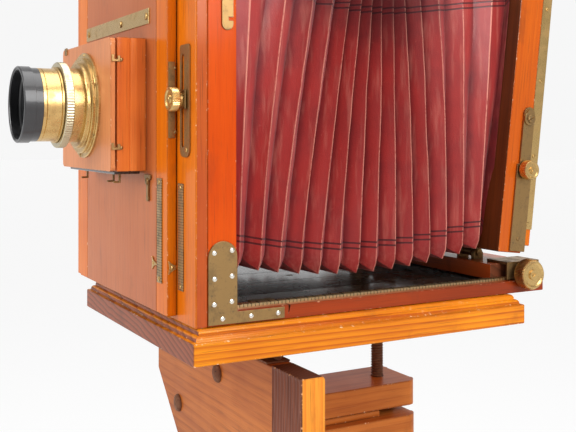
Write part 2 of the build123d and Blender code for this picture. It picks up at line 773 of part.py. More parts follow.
# ---- bellows ----------------------------------------------------------------------------------------------
def bellows():
    half_w = bellows_width / 2
    half_h = bellows_height / 2
    z0 = bellows_mid_z - half_h
    z1 = bellows_mid_z + half_h
    lean = math.tan(math.radians(back_lean))
    rear_foot = bellows_rear + (z0 - tilt_axis_z) * lean
    rear_top = bellows_rear + (z1 - tilt_axis_z) * lean
    with BuildPart() as part:
        with BuildSketch(Plane.YZ.offset(-half_w)):
            with BuildLine():
                Polyline((bellows_front, z0), (rear_foot, z0), (rear_top, z1), (bellows_front, z1), close=True)
            make_face()
        extrude(amount=bellows_width)
    hollow = block(-half_w + bellows_wall, half_w - bellows_wall, bellows_front - 1, rear_top + 1,
                   z0 + bellows_wall, z1 - bellows_wall)
    save("bellows", part.part - hollow)


# ---- carriage, focusing and tilting back ---------------------------------------------------------------------
def carriage():
    """The bar that slides on the bed rails, and the brass cheeks at its ends."""
    inner = rack_x - rack_width / 2 - 1.5
    foot = bed_top + SLIDE_GAP
    top = bed_top + carriage_rise
    shaft = (pinion_y, pinion_z)
    bar = block(-inner, inner, carriage_front, carriage_end, foot, top)
    bar -= rod("x", pinion_shaft_radius + SHAFT_GAP, -inner - 1, inner + 1, shaft)
    save("carriage_bar", bar)
    cheek_in = rack_x + rack_width / 2 + 1.5
    cheek_out = cheek_in + carriage_cheek
    cheek_top_z = top + carriage_cheek
    shape = block(cheek_in, cheek_out, carriage_front + 14, carriage_end, foot + 1, cheek_top_z)
    shape += block(inner - 22, cheek_out, carriage_front + 14, carriage_end, top, cheek_top_z)
    return both_sides(shape - rod("x", pinion_shaft_radius + SHAFT_GAP, -half_body, half_body, shaft))


def gear(x0, x1):
    """A small pinion; a tooth gap points straight down, over a tooth of the rack."""
    tip = pinion_radius + tooth_depth / 2 - 0.1
    root = pinion_radius - tooth_depth / 2 - 0.25
    points = []
    for tooth in range(pinion_teeth):
        for offset, radius in ((-6.5, root), (-3.6, tip), (3.6, tip), (6.5, root)):
            angle = math.radians(360 / pinion_teeth * tooth - 90 + offset)
            points.append((pinion_y + radius * math.cos(angle), pinion_z + radius * math.sin(angle)))
    with BuildPart() as part:
        with BuildSketch(Plane.YZ.offset(x0)):
            with BuildLine():
                Polyline(*points, close=True)
            make_face()
        extrude(amount=x1 - x0)
    return part.part


def focusing():
    gear_half = rack_width / 2
    shaft = (pinion_y, pinion_z)
    knob_start = half_body + 1.0
    shape = rod("x", pinion_shaft_radius, -knob_start - 2, knob_start + 2, shaft)
    shape += gear(rack_x - gear_half, rack_x + gear_half)
    shape += gear(-rack_x - gear_half, -rack_x + gear_half)
    knobs = [knob(focus_knob_radius, side * focus_knob_thick, "x", side * (knob_start + 2), shaft)
             for side in (-1, 1)]
    save("focus_pinion", shape, *knobs)


def lean(shape):
    """Turn a shape drawn upright about the tilt axis to the back's lean."""
    return shape.rotate(Axis((0, tilt_axis_y, tilt_axis_z), (1, 0, 0)), -back_lean)


def tilting_back(cheeks, struts_and_studs):
    y0 = tilt_axis_y - back_front
    y1 = y0 + back_frame_thick
    foot = tilt_axis_z + back_foot_gap
    top = foot + back_height
    save("back_frame", lean(ring_frame(half_body, y0, y1, foot, top, back_stile, back_rail, back_stile)))
    pin = (tilt_axis_y, tilt_axis_z)
    knuckle = tilt_lug_half - 1.5
    carriage_top = bed_top + carriage_rise
    lower, upper, pins = [], [], []
    for x in (-eye_spacing, eye_spacing):
        for start in lug_starts:
            lug = block(x + start, x + start + lug_width, tilt_axis_y - tilt_lug_half,
                        tilt_axis_y + tilt_lug_half, carriage_top, tilt_axis_z)
            lug += rod("x", knuckle, x + start, x + start + lug_width, pin)
            lower.append(lug - rod("x", tilt_pin_radius, x - tilt_pin_half - 2, x + tilt_pin_half + 2, pin))
        eye = rod("x", knuckle, x - eye_half, x + eye_half, pin)
        eye += block(x - eye_half, x + eye_half, tilt_axis_y - 4, tilt_axis_y + 4, tilt_axis_z, foot)
        bore = rod("x", tilt_pin_radius + SHAFT_GAP, x - tilt_pin_half - 2, x + tilt_pin_half + 2, pin)
        upper.append(lean(eye) - bore)
        pins.append(rod("x", tilt_pin_radius, x - tilt_pin_half, x + tilt_pin_half, pin))
    save("carriage_brasses", *cheeks, *lower, *pins)
    save("back_brasses", *upper, *struts_and_studs)
    return y1, foot, top


def focusing_screen(frame_rear_y, foot, top):
    """The hinged frame with the ground glass, its hinges and the brass strips along its sides."""
    y0 = frame_rear_y + SLIDE_GAP
    y1 = y0 + screen_thick
    half = half_body - 2
    hinge_z = foot + 4
    hinge_y = y1 - screen_hinge_radius
    hinge = (hinge_y, hinge_z)
    frame_foot = hinge_z + screen_hinge_radius + 1.5
    shape = ring_frame(half, y0, y1, frame_foot, top, screen_stile, screen_stile, screen_stile)
    glass_half = half - screen_stile + glass_lap
    glass_foot = frame_foot + screen_stile - glass_lap
    glass_top = top - screen_stile + glass_lap
    rebate = block(-glass_half, glass_half, y0 - 1, y0 + screen_glass_thick, glass_foot, glass_top)
    save("screen_frame", lean(shape - rebate))
    glass = block(-glass_half, glass_half, y0 + 0.2, y0 + screen_glass_thick, glass_foot, glass_top)
    save("ground_glass", lean(glass))
    strip = block(half, half + edge_strip_thick, y0, y1, hinge_z + edge_strip_foot, top - edge_strip_top)
    strips = [lean(s) for s in both_sides(strip)]
    barrels, pins, cups = [], [], []
    for x in (-screen_hinge_x, screen_hinge_x):
        start, end = x - screen_leaf_half, x + screen_leaf_half
        leaf = rod("x", screen_hinge_radius, start, end, hinge)
        leaf += block(start, end, hinge_y, y1, hinge_z, frame_foot)
        barrels.append(lean(leaf - rod("x", screen_pin_radius + SHAFT_GAP, start - 1, end + 1, hinge)))
        pins.append(lean(rod("x", screen_pin_radius, x - screen_cup_reach, x + screen_cup_reach, hinge)))
        for x0 in (x - screen_cup_reach, end + SLIDE_GAP):
            x1 = x0 + screen_leaf_half - SLIDE_GAP
            cup = rod("x", screen_hinge_radius, x0, x1, hinge)
            cup += block(x0, x1, frame_rear_y, hinge_y, hinge_z - 1.5, hinge_z + 1.5)
            cups.append(lean(cup - rod("x", screen_pin_radius, x0 - 1, x1 + 1, hinge)))
    save("screen_brasses", *strips, *barrels)
    save("screen_hinge_cups", *cups, *pins)


def struts():
    """A brass arm on each side of the back, with a pivot stud at its top and a lock knob."""
    x0, x1 = half_body, half_body + strut_thick
    y = tilt_axis_y + 2
    foot = tilt_axis_z + strut_foot
    top = tilt_axis_z + strut_top
    knob_z = tilt_axis_z + lock_knob_rise
    half = strut_width / 2
    arm_shape = block(x0, x1, y - half, y + half, foot, top)
    arm_shape += rod("x", half, x0, x1, (y, top))
    arm_shape += block(x0, x1, y - strut_wide / 2, y + strut_wide / 2, foot, knob_z + 6)
    arm_shape -= rod("x", lock_shaft_radius, x0 - 1, x1 + 1, (y, knob_z))
    stud = rod("x", strut_stud_radius, x1, x1 + strut_stud_rise, (y, top))
    knob_shape = knob(lock_knob_radius, lock_knob_thick, "x", x1 + SLIDE_GAP, (y, knob_z),
                      lock_shaft_radius - SHAFT_GAP, x0)
    save("lock_knob_right", lean(knob_shape))
    save("lock_knob_left", lean(knob_shape.mirror(Plane.YZ)))
    return [lean(s) for s in both_sides(arm_shape) + both_sides(stud)]


stand_head()
crown()
legs()
table()
table_hinges()
tilt_screw()
body()
racks()
corner_brackets()
fixing_screw()
outer_panel()
slot_plates()
lugs_and_nuts()
box_turn_latch(lens_box(inner_panel()))
lens()
bellows()
focusing()
frame_rear_y, back_foot, back_top = tilting_back(carriage(), struts())
focusing_screen(frame_rear_y, back_foot, back_top)
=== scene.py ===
"""Looks for a wooden plate camera on its tilting table and stand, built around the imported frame."""

import json
import logging
import math
from dataclasses import dataclass, field
from enum import Enum

import bmesh
import bpy
from mathutils import Matrix, Vector, noise

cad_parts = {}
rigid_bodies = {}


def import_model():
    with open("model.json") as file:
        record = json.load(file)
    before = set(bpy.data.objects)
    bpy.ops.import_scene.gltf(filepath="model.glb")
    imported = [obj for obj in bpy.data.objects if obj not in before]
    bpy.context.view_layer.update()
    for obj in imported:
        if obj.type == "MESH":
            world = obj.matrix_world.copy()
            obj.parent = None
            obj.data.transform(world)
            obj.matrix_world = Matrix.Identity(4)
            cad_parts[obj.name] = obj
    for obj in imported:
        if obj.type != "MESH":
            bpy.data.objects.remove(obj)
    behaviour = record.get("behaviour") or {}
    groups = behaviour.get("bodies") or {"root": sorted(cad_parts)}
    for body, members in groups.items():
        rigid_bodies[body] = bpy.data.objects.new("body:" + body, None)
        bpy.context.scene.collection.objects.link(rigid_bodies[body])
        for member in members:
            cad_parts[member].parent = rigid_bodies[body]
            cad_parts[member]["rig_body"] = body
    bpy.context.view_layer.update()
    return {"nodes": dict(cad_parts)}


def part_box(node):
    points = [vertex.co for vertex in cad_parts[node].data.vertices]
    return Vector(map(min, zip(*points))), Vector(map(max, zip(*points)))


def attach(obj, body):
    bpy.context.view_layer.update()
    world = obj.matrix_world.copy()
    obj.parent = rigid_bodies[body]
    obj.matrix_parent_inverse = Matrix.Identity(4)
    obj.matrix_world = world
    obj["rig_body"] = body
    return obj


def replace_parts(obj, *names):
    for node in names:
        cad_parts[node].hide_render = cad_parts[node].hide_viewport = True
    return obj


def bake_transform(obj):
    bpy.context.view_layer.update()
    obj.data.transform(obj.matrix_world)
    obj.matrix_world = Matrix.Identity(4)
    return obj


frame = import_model()
LOG = logging.getLogger("plate_camera")
MM = 0.001
SHARP_TURN = math.radians(33)
BACK_LEAN = math.radians(7.0)
TILT_AXIS_Z = 1002 * MM
Colour = tuple[float, float, float, float]
UP = Vector((0, 0, 1))
AHEAD = Vector((0, -1, 0))
RIGHT = Vector((1, 0, 0))


def tone(red: float, green: float, blue: float) -> Colour:
    """A linear colour with full alpha."""
    return (red, green, blue, 1.0)


class Wire:
    """A shader socket that adds Math nodes when it is used in an expression."""

    def __init__(self, shader: "Shader", socket: bpy.types.NodeSocket) -> None:
        """Keep the shader and the socket."""
        self.shader = shader
        self.socket = socket

    def _math(self, operation: str, *values: "Wire | float") -> "Wire":
        """Add one Math node."""
        return self.shader.node("ShaderNodeMath", {"operation": operation}, dict(enumerate(values)))

    def __add__(self, other: "Wire | float") -> "Wire":
        """self + other"""
        return self._math("ADD", self, other)

    __radd__ = __add__

    def __sub__(self, other: "Wire | float") -> "Wire":
        """self - other"""
        return self._math("SUBTRACT", self, other)

    def __rsub__(self, other: "Wire | float") -> "Wire":
        """other - self"""
        return self._math("SUBTRACT", other, self)

    def __mul__(self, other: "Wire | float") -> "Wire":
        """self * other"""
        return self._math("MULTIPLY", self, other)

    __rmul__ = __mul__

    def __truediv__(self, other: "Wire | float") -> "Wire":
        """self / other"""
        return self._math("DIVIDE", self, other)

    def __pow__(self, other: "Wire | float") -> "Wire":
        """self to the power of other"""
        return self._math("POWER", self, other)

    def __abs__(self) -> "Wire":
        """Size without sign."""
        return self._math("ABSOLUTE", self)

    def part(self) -> "Wire":
        """The part after the decimal point."""
        return self._math("FRACT", self)

    def above(self, low: float, high: float) -> "Wire":
        """A smooth step from 0 at low to 1 at high."""
        return self.shader.node("ShaderNodeMapRange", {"interpolation_type": "SMOOTHSTEP"},
                                {0: self, 1: low, 2: high, 3: 0.0, 4: 1.0})

    def below(self, low: float, high: float) -> "Wire":
        """A smooth step from 1 at low to 0 at high."""
        return 1 - self.above(low, high)


class Shader:
    """A material while its nodes are being laid out."""

    def __init__(self, name: str) -> None:
        """Start a node material with its Principled shader."""
        self.material = bpy.data.materials.new(name)
        self.material.use_nodes = True
        self.tree = self.material.node_tree
        self.surface = next(n for n in self.tree.nodes if n.type == "BSDF_PRINCIPLED")

    def node(self, kind: str, settings: dict | None = None, inputs: dict | None = None,
             output: int = 0) -> Wire:
        """Add a node.

        Args:
            kind: the node's type name.
            settings: attributes set first; "stops" fills a colour ramp.
            inputs: socket to a value or a Wire.
            output: which output to return.

        Returns:
            The output as a Wire.
        """
        node = self.tree.nodes.new(kind)
        for name, value in (settings or {}).items():
            if name == "stops":
                ramp = node.color_ramp
                while len(ramp.elements) < len(value):
                    ramp.elements.new(0.5)
                for element, (place, colour) in zip(ramp.elements, value):
                    element.position = place
                    element.color = colour
            else:
                setattr(node, name, value)
        for socket, value in (inputs or {}).items():
            self.feed(node.inputs[socket], value)
        return Wire(self, node.outputs[output])

    def feed(self, socket: bpy.types.NodeSocket, value: "Wire | float | tuple") -> None:
        """Set a socket to a value, or link a Wire to it."""
        if isinstance(value, Wire):
            self.tree.links.new(value.socket, socket)
        else:
            socket.default_value = value

    def place(self, scale: tuple = (1, 1, 1), turn: tuple = (0, 0, 0), shift: tuple = (0, 0, 0)) -> Wire:
        """Object coordinates, turned, scaled and shifted."""
        spot = self.node("ShaderNodeTexCoord", output=3)
        turned = self.node("ShaderNodeMapping", {}, {0: spot, 1: shift, 2: turn})
        return self.node("ShaderNodeMapping", {}, {0: turned, 3: scale})

    def clouds(self, where: Wire, scale: float, detail: float = 3.0, rough: float = 0.55) -> Wire:
        """Noise between 0 and 1."""
        return self.node("ShaderNodeTexNoise", {}, {"Vector": where, "Scale": scale, "Detail": detail,
                                                   "Roughness": rough})

    def cells(self, where: Wire, scale: float) -> Wire:
        """Distance to the nearest point of a scattered set."""
        return self.node("ShaderNodeTexVoronoi", {}, {"Vector": where, "Scale": scale})

    def blend(self, share: "Wire | float", first: "Wire | Colour", second: "Wire | Colour",
              kind: str = "MIX") -> Wire:
        """Mix two colours."""
        return self.node("ShaderNodeMix", {"data_type": "RGBA", "blend_type": kind, "clamp_factor": True},
                         {0: share, 6: first, 7: second}, 2)

    def relief(self, height: Wire, strength: float, depth: float) -> Wire:
        """Turn a height into a bumped normal."""
        return self.node("ShaderNodeBump", {}, {"Strength": strength, "Distance": depth, "Height": height})

    def dress(self, **sockets: "Wire | float | tuple") -> bpy.types.Material:
        """Fill the Principled shader's sockets; underscores stand for spaces.

        Returns:
            The finished material.
        """
        for name, value in sockets.items():
            self.feed(self.surface.inputs[name.replace("_", " ")], value)
        return self.material


class Grain(Enum):
    """Direction of a board's grain."""

    X = (1.0, 0.0, 0.0)
    Y = (0.0, 1.0, 0.0)
    Z = (0.0, 0.0, 1.0)


@dataclass(frozen=True)
class Wood:
    """A varnished wood with growth rings, fibres, pores and worn edges."""

    name: str
    slot: str
    pale: Colour
    deep: Colour
    end: Colour
    worn: Colour
    ring: float = 0.006
    contrast: float = 0.5
    wobble: float = 0.010
    rough: float = 0.34
    coat: float = 0.35
    wear: float = 0.55
    streak: float = 0.35
    stain: Colour = (0.05, 0.02, 0.012, 1.0)

    def cut(self, grain: Grain | tuple, seed: float = 0.0) -> bpy.types.Material:
        """Make the wood for one board.

        Args:
            grain: direction of the fibres.
            seed: which part of the tree the board comes from.

        Returns:
            The material.
        """
        shader = Shader(f"{self.name}_{seed:.0f}")
        way = Vector(grain.value if isinstance(grain, Grain) else grain).normalized()
        turn = tuple(way.rotation_difference(UP).to_euler())
        pith = (0.07 + 0.031 * (seed % 5), 0.05 + 0.023 * (seed % 7), 0.37 * seed)
        spot = shader.place(turn=turn, shift=pith)
        long = shader.node("ShaderNodeMapping", {}, {0: spot, 3: (1.0, 1.0, 0.07)})
        drift = shader.clouds(long, 9.0, 2.0)
        flat = shader.node("ShaderNodeMapping", {}, {0: spot, 3: (1.0, 1.0, 0.0)})
        radius = shader.node("ShaderNodeVectorMath", {"operation": "LENGTH"}, {0: flat}, 1)
        rings = ((radius + drift * (self.wobble * 2)) / self.ring).part()
        late = rings ** 2.4 * rings.below(0.9, 1.0)
        hair = shader.clouds(shader.node("ShaderNodeMapping", {}, {0: spot, 3: (1.0, 1.0, 0.018)}), 900.0,
                             2.0)
        strip = shader.clouds(shader.node("ShaderNodeMapping", {}, {0: spot, 3: (1.0, 1.0, 0.035)}), 150.0,
                              3.0)
        patch = shader.clouds(spot, 14.0, 3.0)
        broad = shader.clouds(spot, 5.0, 2.0)
        mixed = (late * self.contrast + strip.above(0.35, 0.75) * self.streak + patch * 0.45
                 + broad.above(0.35, 0.65) * 0.35 - 0.22)
        body = shader.blend(mixed, self.pale, self.deep)
        body = shader.blend(hair.above(0.56, 0.70) * 0.45, body, self.deep)
        body = shader.blend(hair.below(0.30, 0.40) * 0.38, body, self.stain)
        facing = shader.node("ShaderNodeTexCoord", output=1)
        across = abs(shader.node("ShaderNodeVectorMath", {"operation": "DOT_PRODUCT"},
                                 {0: facing, 1: tuple(way)}, 1)).above(0.75, 0.95)
        end = shader.blend(late * 0.8 + strip * 0.2, self.end, self.stain)
        body = shader.blend(across, body, end)
        rub = shader.node("ShaderNodeAttribute", {"attribute_name": "wear"}, None, 2)
        chips = shader.clouds(shader.place(shift=pith), 210.0, 4.0, 0.7)
        bare = rub * chips.above(0.64 - 0.12 * self.wear, 0.74 - 0.10 * self.wear)
        smear = shader.clouds(shader.place(shift=pith, scale=(1.0, 1.0, 0.5)), 24.0, 4.0,
                              0.65).above(0.56, 0.74)
        body = shader.blend(smear * 0.28, body, self.stain)
        scuff = shader.clouds(shader.place(shift=pith), 60.0, 6.0, 0.75).above(0.70, 0.76) * 0.30 * self.wear
        body = shader.blend(scuff, body, self.worn)
        body = shader.blend(rub * 0.2, body, self.stain)
        body = shader.blend(bare * 0.75, body, self.worn)
        height = hair * 0.5 + late * 0.35 - bare * 0.8
        return shader.dress(
            Base_Color=body,
            Roughness=patch * 0.18 + self.rough - 0.09 + bare * 0.3 + across * 0.2,
            Coat_Weight=(1 - bare) * self.coat,
            Coat_Roughness=0.12,
            Coat_Tint=tone(1.0, 0.84, 0.60),
            Specular_IOR_Level=0.16,
            Specular_Tint=tone(1.0, 0.66, 0.34),
            Normal=shader.relief(height, 0.25, 0.0004),
        )


@dataclass(frozen=True)
class Metal:
    """A metal with tarnish, scratches and darkened pits."""

    name: str
    slot: str
    clean: Colour
    dull: Colour
    grime_and_gap_shade: Colour
    rough: float = 0.28
    tarnish: float = 0.5
    metallic: float = 1.0
    ticks: float = 0.0
    along: int = 2

    def cast(self) -> bpy.types.Material:
        """Make the metal.

        Returns:
            The material.
        """
        shader = Shader(self.name)
        spot = shader.place()
        blotch = shader.clouds(spot, 55.0, 5.0, 0.65)
        speck = shader.clouds(spot, 420.0, 3.0, 0.6)
        scratch = shader.clouds(shader.place(scale=(1.0, 0.06, 1.0), turn=(0.5, 0.3, 0.9)), 900.0, 2.0)
        aged = blotch.above(0.62 - 0.3 * self.tarnish, 0.82 - 0.25 * self.tarnish)
        pits = (speck.above(0.58, 0.66) * blotch.above(0.35, 0.6)) * self.tarnish
        body = shader.blend(aged * (0.35 + 0.6 * self.tarnish), self.clean, self.dull)
        body = shader.blend(pits, body, self.grime_and_gap_shade)
        rub = shader.node("ShaderNodeAttribute", {"attribute_name": "wear"}, None, 2)
        body = shader.blend(rub * speck.above(0.4, 0.55) * 0.6, body, self.clean)
        height = speck * 0.4 + scratch * 0.25 - pits * 0.3
        # Evenly spaced dark lines: on the scale they are engraved graduations; on the rack they are painted
        # shade in the gaps between the teeth.
        if self.ticks:
            split = shader.node("ShaderNodeSeparateXYZ", {}, {0: spot}, self.along)
            line = (split / self.ticks).part().below(0.12, 0.30)
            body = shader.blend(line * 0.85, body, self.grime_and_gap_shade)
            height = height - line * 1.2
        return shader.dress(
            Base_Color=body,
            Metallic=self.metallic - pits * 0.5 - aged * (0.25 * self.tarnish),
            Roughness=self.rough + aged * 0.18 + scratch * 0.12 + pits * 0.2 - 0.06,
            Normal=shader.relief(height, 0.3, 0.00025),
        )


@dataclass(frozen=True)
class Leather:
    """Dyed bellows leather, rubbed pale along its folds, with two tooled lines by each corner."""

    name: str = "bellows_leather"
    slot: str = "bellows_leather"
    dye: Colour = tone(0.33, 0.022, 0.019)
    deep: Colour = tone(0.10, 0.008, 0.012)
    rubbed: Colour = tone(0.66, 0.26, 0.19)
    line: Colour = tone(0.035, 0.004, 0.007)
    first_line: float = 0.026
    line_step: float = 0.0055

    def tan(self) -> bpy.types.Material:
        """Make the leather.

        Returns:
            The material, which reads the piece's UV map: fold number along U, distance from a corner along V.
        """
        shader = Shader(self.name)
        spot = shader.place()
        cloth = shader.node("ShaderNodeUVMap", {"uv_map": "fold"})
        fold = shader.node("ShaderNodeSeparateXYZ", {}, {0: cloth}, 0)
        reach = shader.node("ShaderNodeSeparateXYZ", {}, {0: cloth}, 1)
        edge = abs(fold.part() - 0.5)
        mottle = shader.clouds(spot, 22.0, 5.0, 0.6)
        fine = shader.clouds(spot, 240.0, 4.0, 0.65)
        streaks = shader.clouds(shader.place(scale=(1.0, 1.0, 0.12)), 130.0, 3.0)
        pebble = shader.cells(spot, 900.0)
        # Darker in random patches of dye and towards each fold's valley; the valley darkening is painted
        # shade in the creases.
        body = shader.blend(mottle.above(0.35, 0.75) * 0.36 + edge.above(0.25, 0.5) * 0.55, self.dye,
                            self.deep)
        body = shader.blend(streaks.above(0.50, 0.75) * 0.22, body, self.rubbed)
        body = shader.blend(fine.above(0.64, 0.74) * 0.12, body, self.rubbed)
        crest = edge.below(0.008, 0.034) * (fine * 0.8 + mottle * 0.8).above(0.50, 0.80)
        body = shader.blend(crest * 0.85, body, self.rubbed)
        ends = (reach.above(0.006, 0.03) * -0.5 + 0.5) * fine.above(0.45, 0.6)
        body = shader.blend(ends * 0.2, body, self.rubbed)
        lines = None
        for index in range(2):
            middle = self.first_line + index * self.line_step
            one = abs(reach - middle).below(0.0006, 0.0013)
            lines = one if lines is None else lines + one
        body = shader.blend(lines * 0.85, body, self.line)
        # Painted shade: the top of the bellows near the middle of its length is darkened to the tooled-line
        # colour.
        rise = shader.node("ShaderNodeSeparateXYZ", {}, {0: spot}, 2)
        back = shader.node("ShaderNodeSeparateXYZ", {}, {0: spot}, 1)
        painted_top_shade = (rise + mottle * 0.06).above(1.24, 1.34) * abs(back - 0.105).below(0.045, 0.130)
        body = shader.blend(painted_top_shade * 0.75, body, self.line)
        height = pebble * 0.5 + fine * 0.4 - lines * 1.2 + mottle * 0.6
        return shader.dress(
            Base_Color=body,
            Roughness=mottle * 0.25 + 0.30 + crest * 0.2,
            Specular_IOR_Level=0.45,
            Coat_Weight=0.12,
            Coat_Roughness=0.35,
            Sheen_Weight=0.08,
            Normal=shader.relief(height, 0.45, 0.0005),
        )


@dataclass(frozen=True)
class Lacquer:
    """A dark stove-enamelled or stained surface with dust and rubbed spots."""

    name: str
    slot: str
    coat_colour: Colour
    dust: Colour
    rough: float = 0.25
    dusting: float = 0.3

    def brush(self) -> bpy.types.Material:
        """Make the lacquer.

        Returns:
            The material.
        """
        shader = Shader(self.name)
        spot = shader.place()
        haze = shader.clouds(spot, 40.0, 5.0, 0.6)
        speck = shader.clouds(spot, 600.0, 3.0)
        rub = shader.node("ShaderNodeAttribute", {"attribute_name": "wear"}, None, 2)
        body = shader.blend((haze.above(0.5, 0.8) + speck.above(0.62, 0.7)) * self.dusting, self.coat_colour,
                            self.dust)
        body = shader.blend(rub * speck.above(0.5, 0.6) * 0.5, body, self.dust)
        return shader.dress(
            Base_Color=body,
            Roughness=haze * 0.2 + self.rough,
            Coat_Weight=0.4,
            Coat_Roughness=0.1,
            Normal=shader.relief(speck, 0.15, 0.0002),
        )


@dataclass(frozen=True)
class Glass:
    """Lens glass or ground glass, with a little dust."""

    name: str
    slot: str
    tint: Colour
    rough: float
    through: float

    def grind(self) -> bpy.types.Material:
        """Make the glass.

        Returns:
            The material.
        """
        shader = Shader(self.name)
        dust = shader.clouds(shader.place(), 700.0, 3.0)
        body = shader.blend(dust.above(0.6, 0.7) * 0.25, self.tint, tone(0.5, 0.5, 0.48))
        return shader.dress(
            Base_Color=body,
            Roughness=dust * 0.06 + self.rough,
            Transmission_Weight=self.through,
            IOR=1.52,
            Coat_Weight=0.6,
            Coat_Roughness=0.03,
        )


CASE = Wood("case_wood", "mahogany", tone(0.70, 0.170, 0.003), tone(0.42, 0.066, 0.002),
            tone(0.16, 0.045, 0.02), tone(0.80, 0.55, 0.36), ring=0.011, contrast=0.14, streak=0.25,
            wear=0.6, coat=0.2)
POST = Wood("post_wood", "mahogany", tone(0.60, 0.072, 0.002), tone(0.42, 0.034, 0.001),
            tone(0.16, 0.045, 0.02), tone(0.75, 0.45, 0.28), ring=0.012, contrast=0.12, streak=0.25,
            wear=0.3, coat=0.15)
BOX = Wood("box_wood", "mahogany", tone(0.78, 0.215, 0.042), tone(0.48, 0.080, 0.014),
           tone(0.16, 0.045, 0.02), tone(0.80, 0.52, 0.34), ring=0.006, contrast=0.45, wear=0.6, coat=0.25)
REAR = Wood("rear_wood", "mahogany", tone(0.55, 0.110, 0.007), tone(0.38, 0.060, 0.005),
            tone(0.14, 0.040, 0.02), tone(0.78, 0.50, 0.32), ring=0.010, contrast=0.35, wear=0.6, coat=0.25)
RAIL = Wood("rail_wood", "mahogany", tone(0.29, 0.036, 0.004), tone(0.18, 0.020, 0.003),
            tone(0.12, 0.035, 0.015), tone(0.70, 0.45, 0.30), ring=0.009, contrast=0.35, wear=0.6, coat=0.3)
DUSTY = Wood("dusty_wood", "mahogany", tone(0.44, 0.085, 0.014), tone(0.34, 0.045, 0.010),
             tone(0.14, 0.04, 0.02), tone(0.72, 0.46, 0.30), ring=0.010, contrast=0.3, wear=0.6, rough=0.42)
PANEL = Wood("panel_wood", "mahogany", tone(0.46, 0.130, 0.036), tone(0.38, 0.085, 0.022),
             tone(0.14, 0.04, 0.02), tone(0.80, 0.60, 0.46), ring=0.008, contrast=0.05, streak=0.20,
             wear=0.4, coat=0.2)
TAN = Wood("tan_wood", "mahogany", tone(0.68, 0.26, 0.100), tone(0.46, 0.135, 0.045),
           tone(0.16, 0.05, 0.02), tone(0.80, 0.60, 0.44), ring=0.008, contrast=0.10, streak=0.2, wear=0.5,
           coat=0.15)
PINE = Wood("table_pine", "board_pine", tone(0.76, 0.26, 0.007), tone(0.42, 0.080, 0.004),
            tone(0.30, 0.080, 0.042), tone(0.85, 0.62, 0.42), ring=0.0065, contrast=0.85, wobble=0.012,
            wear=0.5, streak=0.25, coat=0.3)
STAND = Wood("stand_pine", "stand_pine", tone(0.53, 0.165, 0.030), tone(0.28, 0.062, 0.010),
             tone(0.17, 0.060, 0.035), tone(0.80, 0.55, 0.36), ring=0.010, contrast=0.34, wobble=0.026,
             rough=0.45, coat=0.15, wear=0.4)
RIDGED = Wood("ridged_pine", "stand_pine", tone(0.78, 0.30, 0.034), tone(0.62, 0.17, 0.020),
              tone(0.10, 0.035, 0.026), tone(0.85, 0.55, 0.30), ring=0.0045, contrast=0.8, wobble=0.008,
              rough=0.45, coat=0.15, wear=0.6)
# A much darker copy of the rear wood, used as painted shade on the back frame's front-facing faces.
REAR_SHADE = Wood("rear_shade_wood", "dark_wood", tone(0.15, 0.038, 0.010), tone(0.06, 0.018, 0.006),
            tone(0.05, 0.015, 0.006), tone(0.62, 0.36, 0.22), ring=0.010, contrast=0.3, wear=0.5, rough=0.4)
BURNT = Wood("burnt_pine", "stand_pine", tone(0.24, 0.080, 0.048), tone(0.10, 0.032, 0.024),
             tone(0.10, 0.035, 0.026), tone(0.80, 0.42, 0.20), ring=0.0045, contrast=0.9, wobble=0.012,
             rough=0.5, coat=0.1, wear=1.0)
BRASS = Metal("aged_brass", "brass", tone(0.34, 0.205, 0.082), tone(0.16, 0.100, 0.042),
              tone(0.08, 0.05, 0.025),
              rough=0.36, tarnish=0.6)
WARM = Metal("lacquered_brass", "bright_brass", tone(0.62, 0.41, 0.16), tone(0.34, 0.20, 0.075),
             tone(0.09, 0.055, 0.03), rough=0.28, tarnish=0.5)
NAIL = Metal("pale_nails", "bright_brass", tone(0.74, 0.70, 0.62), tone(0.42, 0.37, 0.28),
             tone(0.10, 0.08, 0.06), rough=0.26, tarnish=0.2)
GREEN = Metal("greened_brass", "bright_brass", tone(0.60, 0.53, 0.36), tone(0.34, 0.31, 0.19),
              tone(0.07, 0.07, 0.05), rough=0.32, tarnish=0.4)
SCALE = Metal("scale_brass", "brass", tone(0.42, 0.29, 0.15), tone(0.22, 0.16, 0.09), tone(0.03, 0.025, 0.02),
              rough=0.42, tarnish=0.7, ticks=0.0026)
# Its near-black lines every 4.2 mm are painted shade in the gaps between the rack's teeth.
RACK = Metal("rack_brass", "brass", tone(0.56, 0.42, 0.22), tone(0.34, 0.24, 0.11), tone(0.02, 0.014, 0.010),
             rough=0.34, tarnish=0.4, ticks=0.0042, along=1)
IRON = Metal("rusty_iron", "rusty_iron", tone(0.23, 0.105, 0.055), tone(0.15, 0.052, 0.024),
             tone(0.045, 0.018, 0.010), rough=0.62, tarnish=0.9, metallic=0.75)
BLACK = Lacquer("lens_black", "lens_black", tone(0.018, 0.018, 0.020), tone(0.14, 0.13, 0.12), 0.26, 0.16)
DARK = Lacquer("dark_boards", "dark_wood", tone(0.030, 0.014, 0.008), tone(0.16, 0.11, 0.08), 0.16, 0.35)
LENS = Glass("lens_glass", "lens_glass", tone(0.55, 0.62, 0.66), 0.02, 0.9)
SCREEN = Glass("screen_glass", "screen_glass", tone(0.72, 0.76, 0.74), 0.45, 0.35)


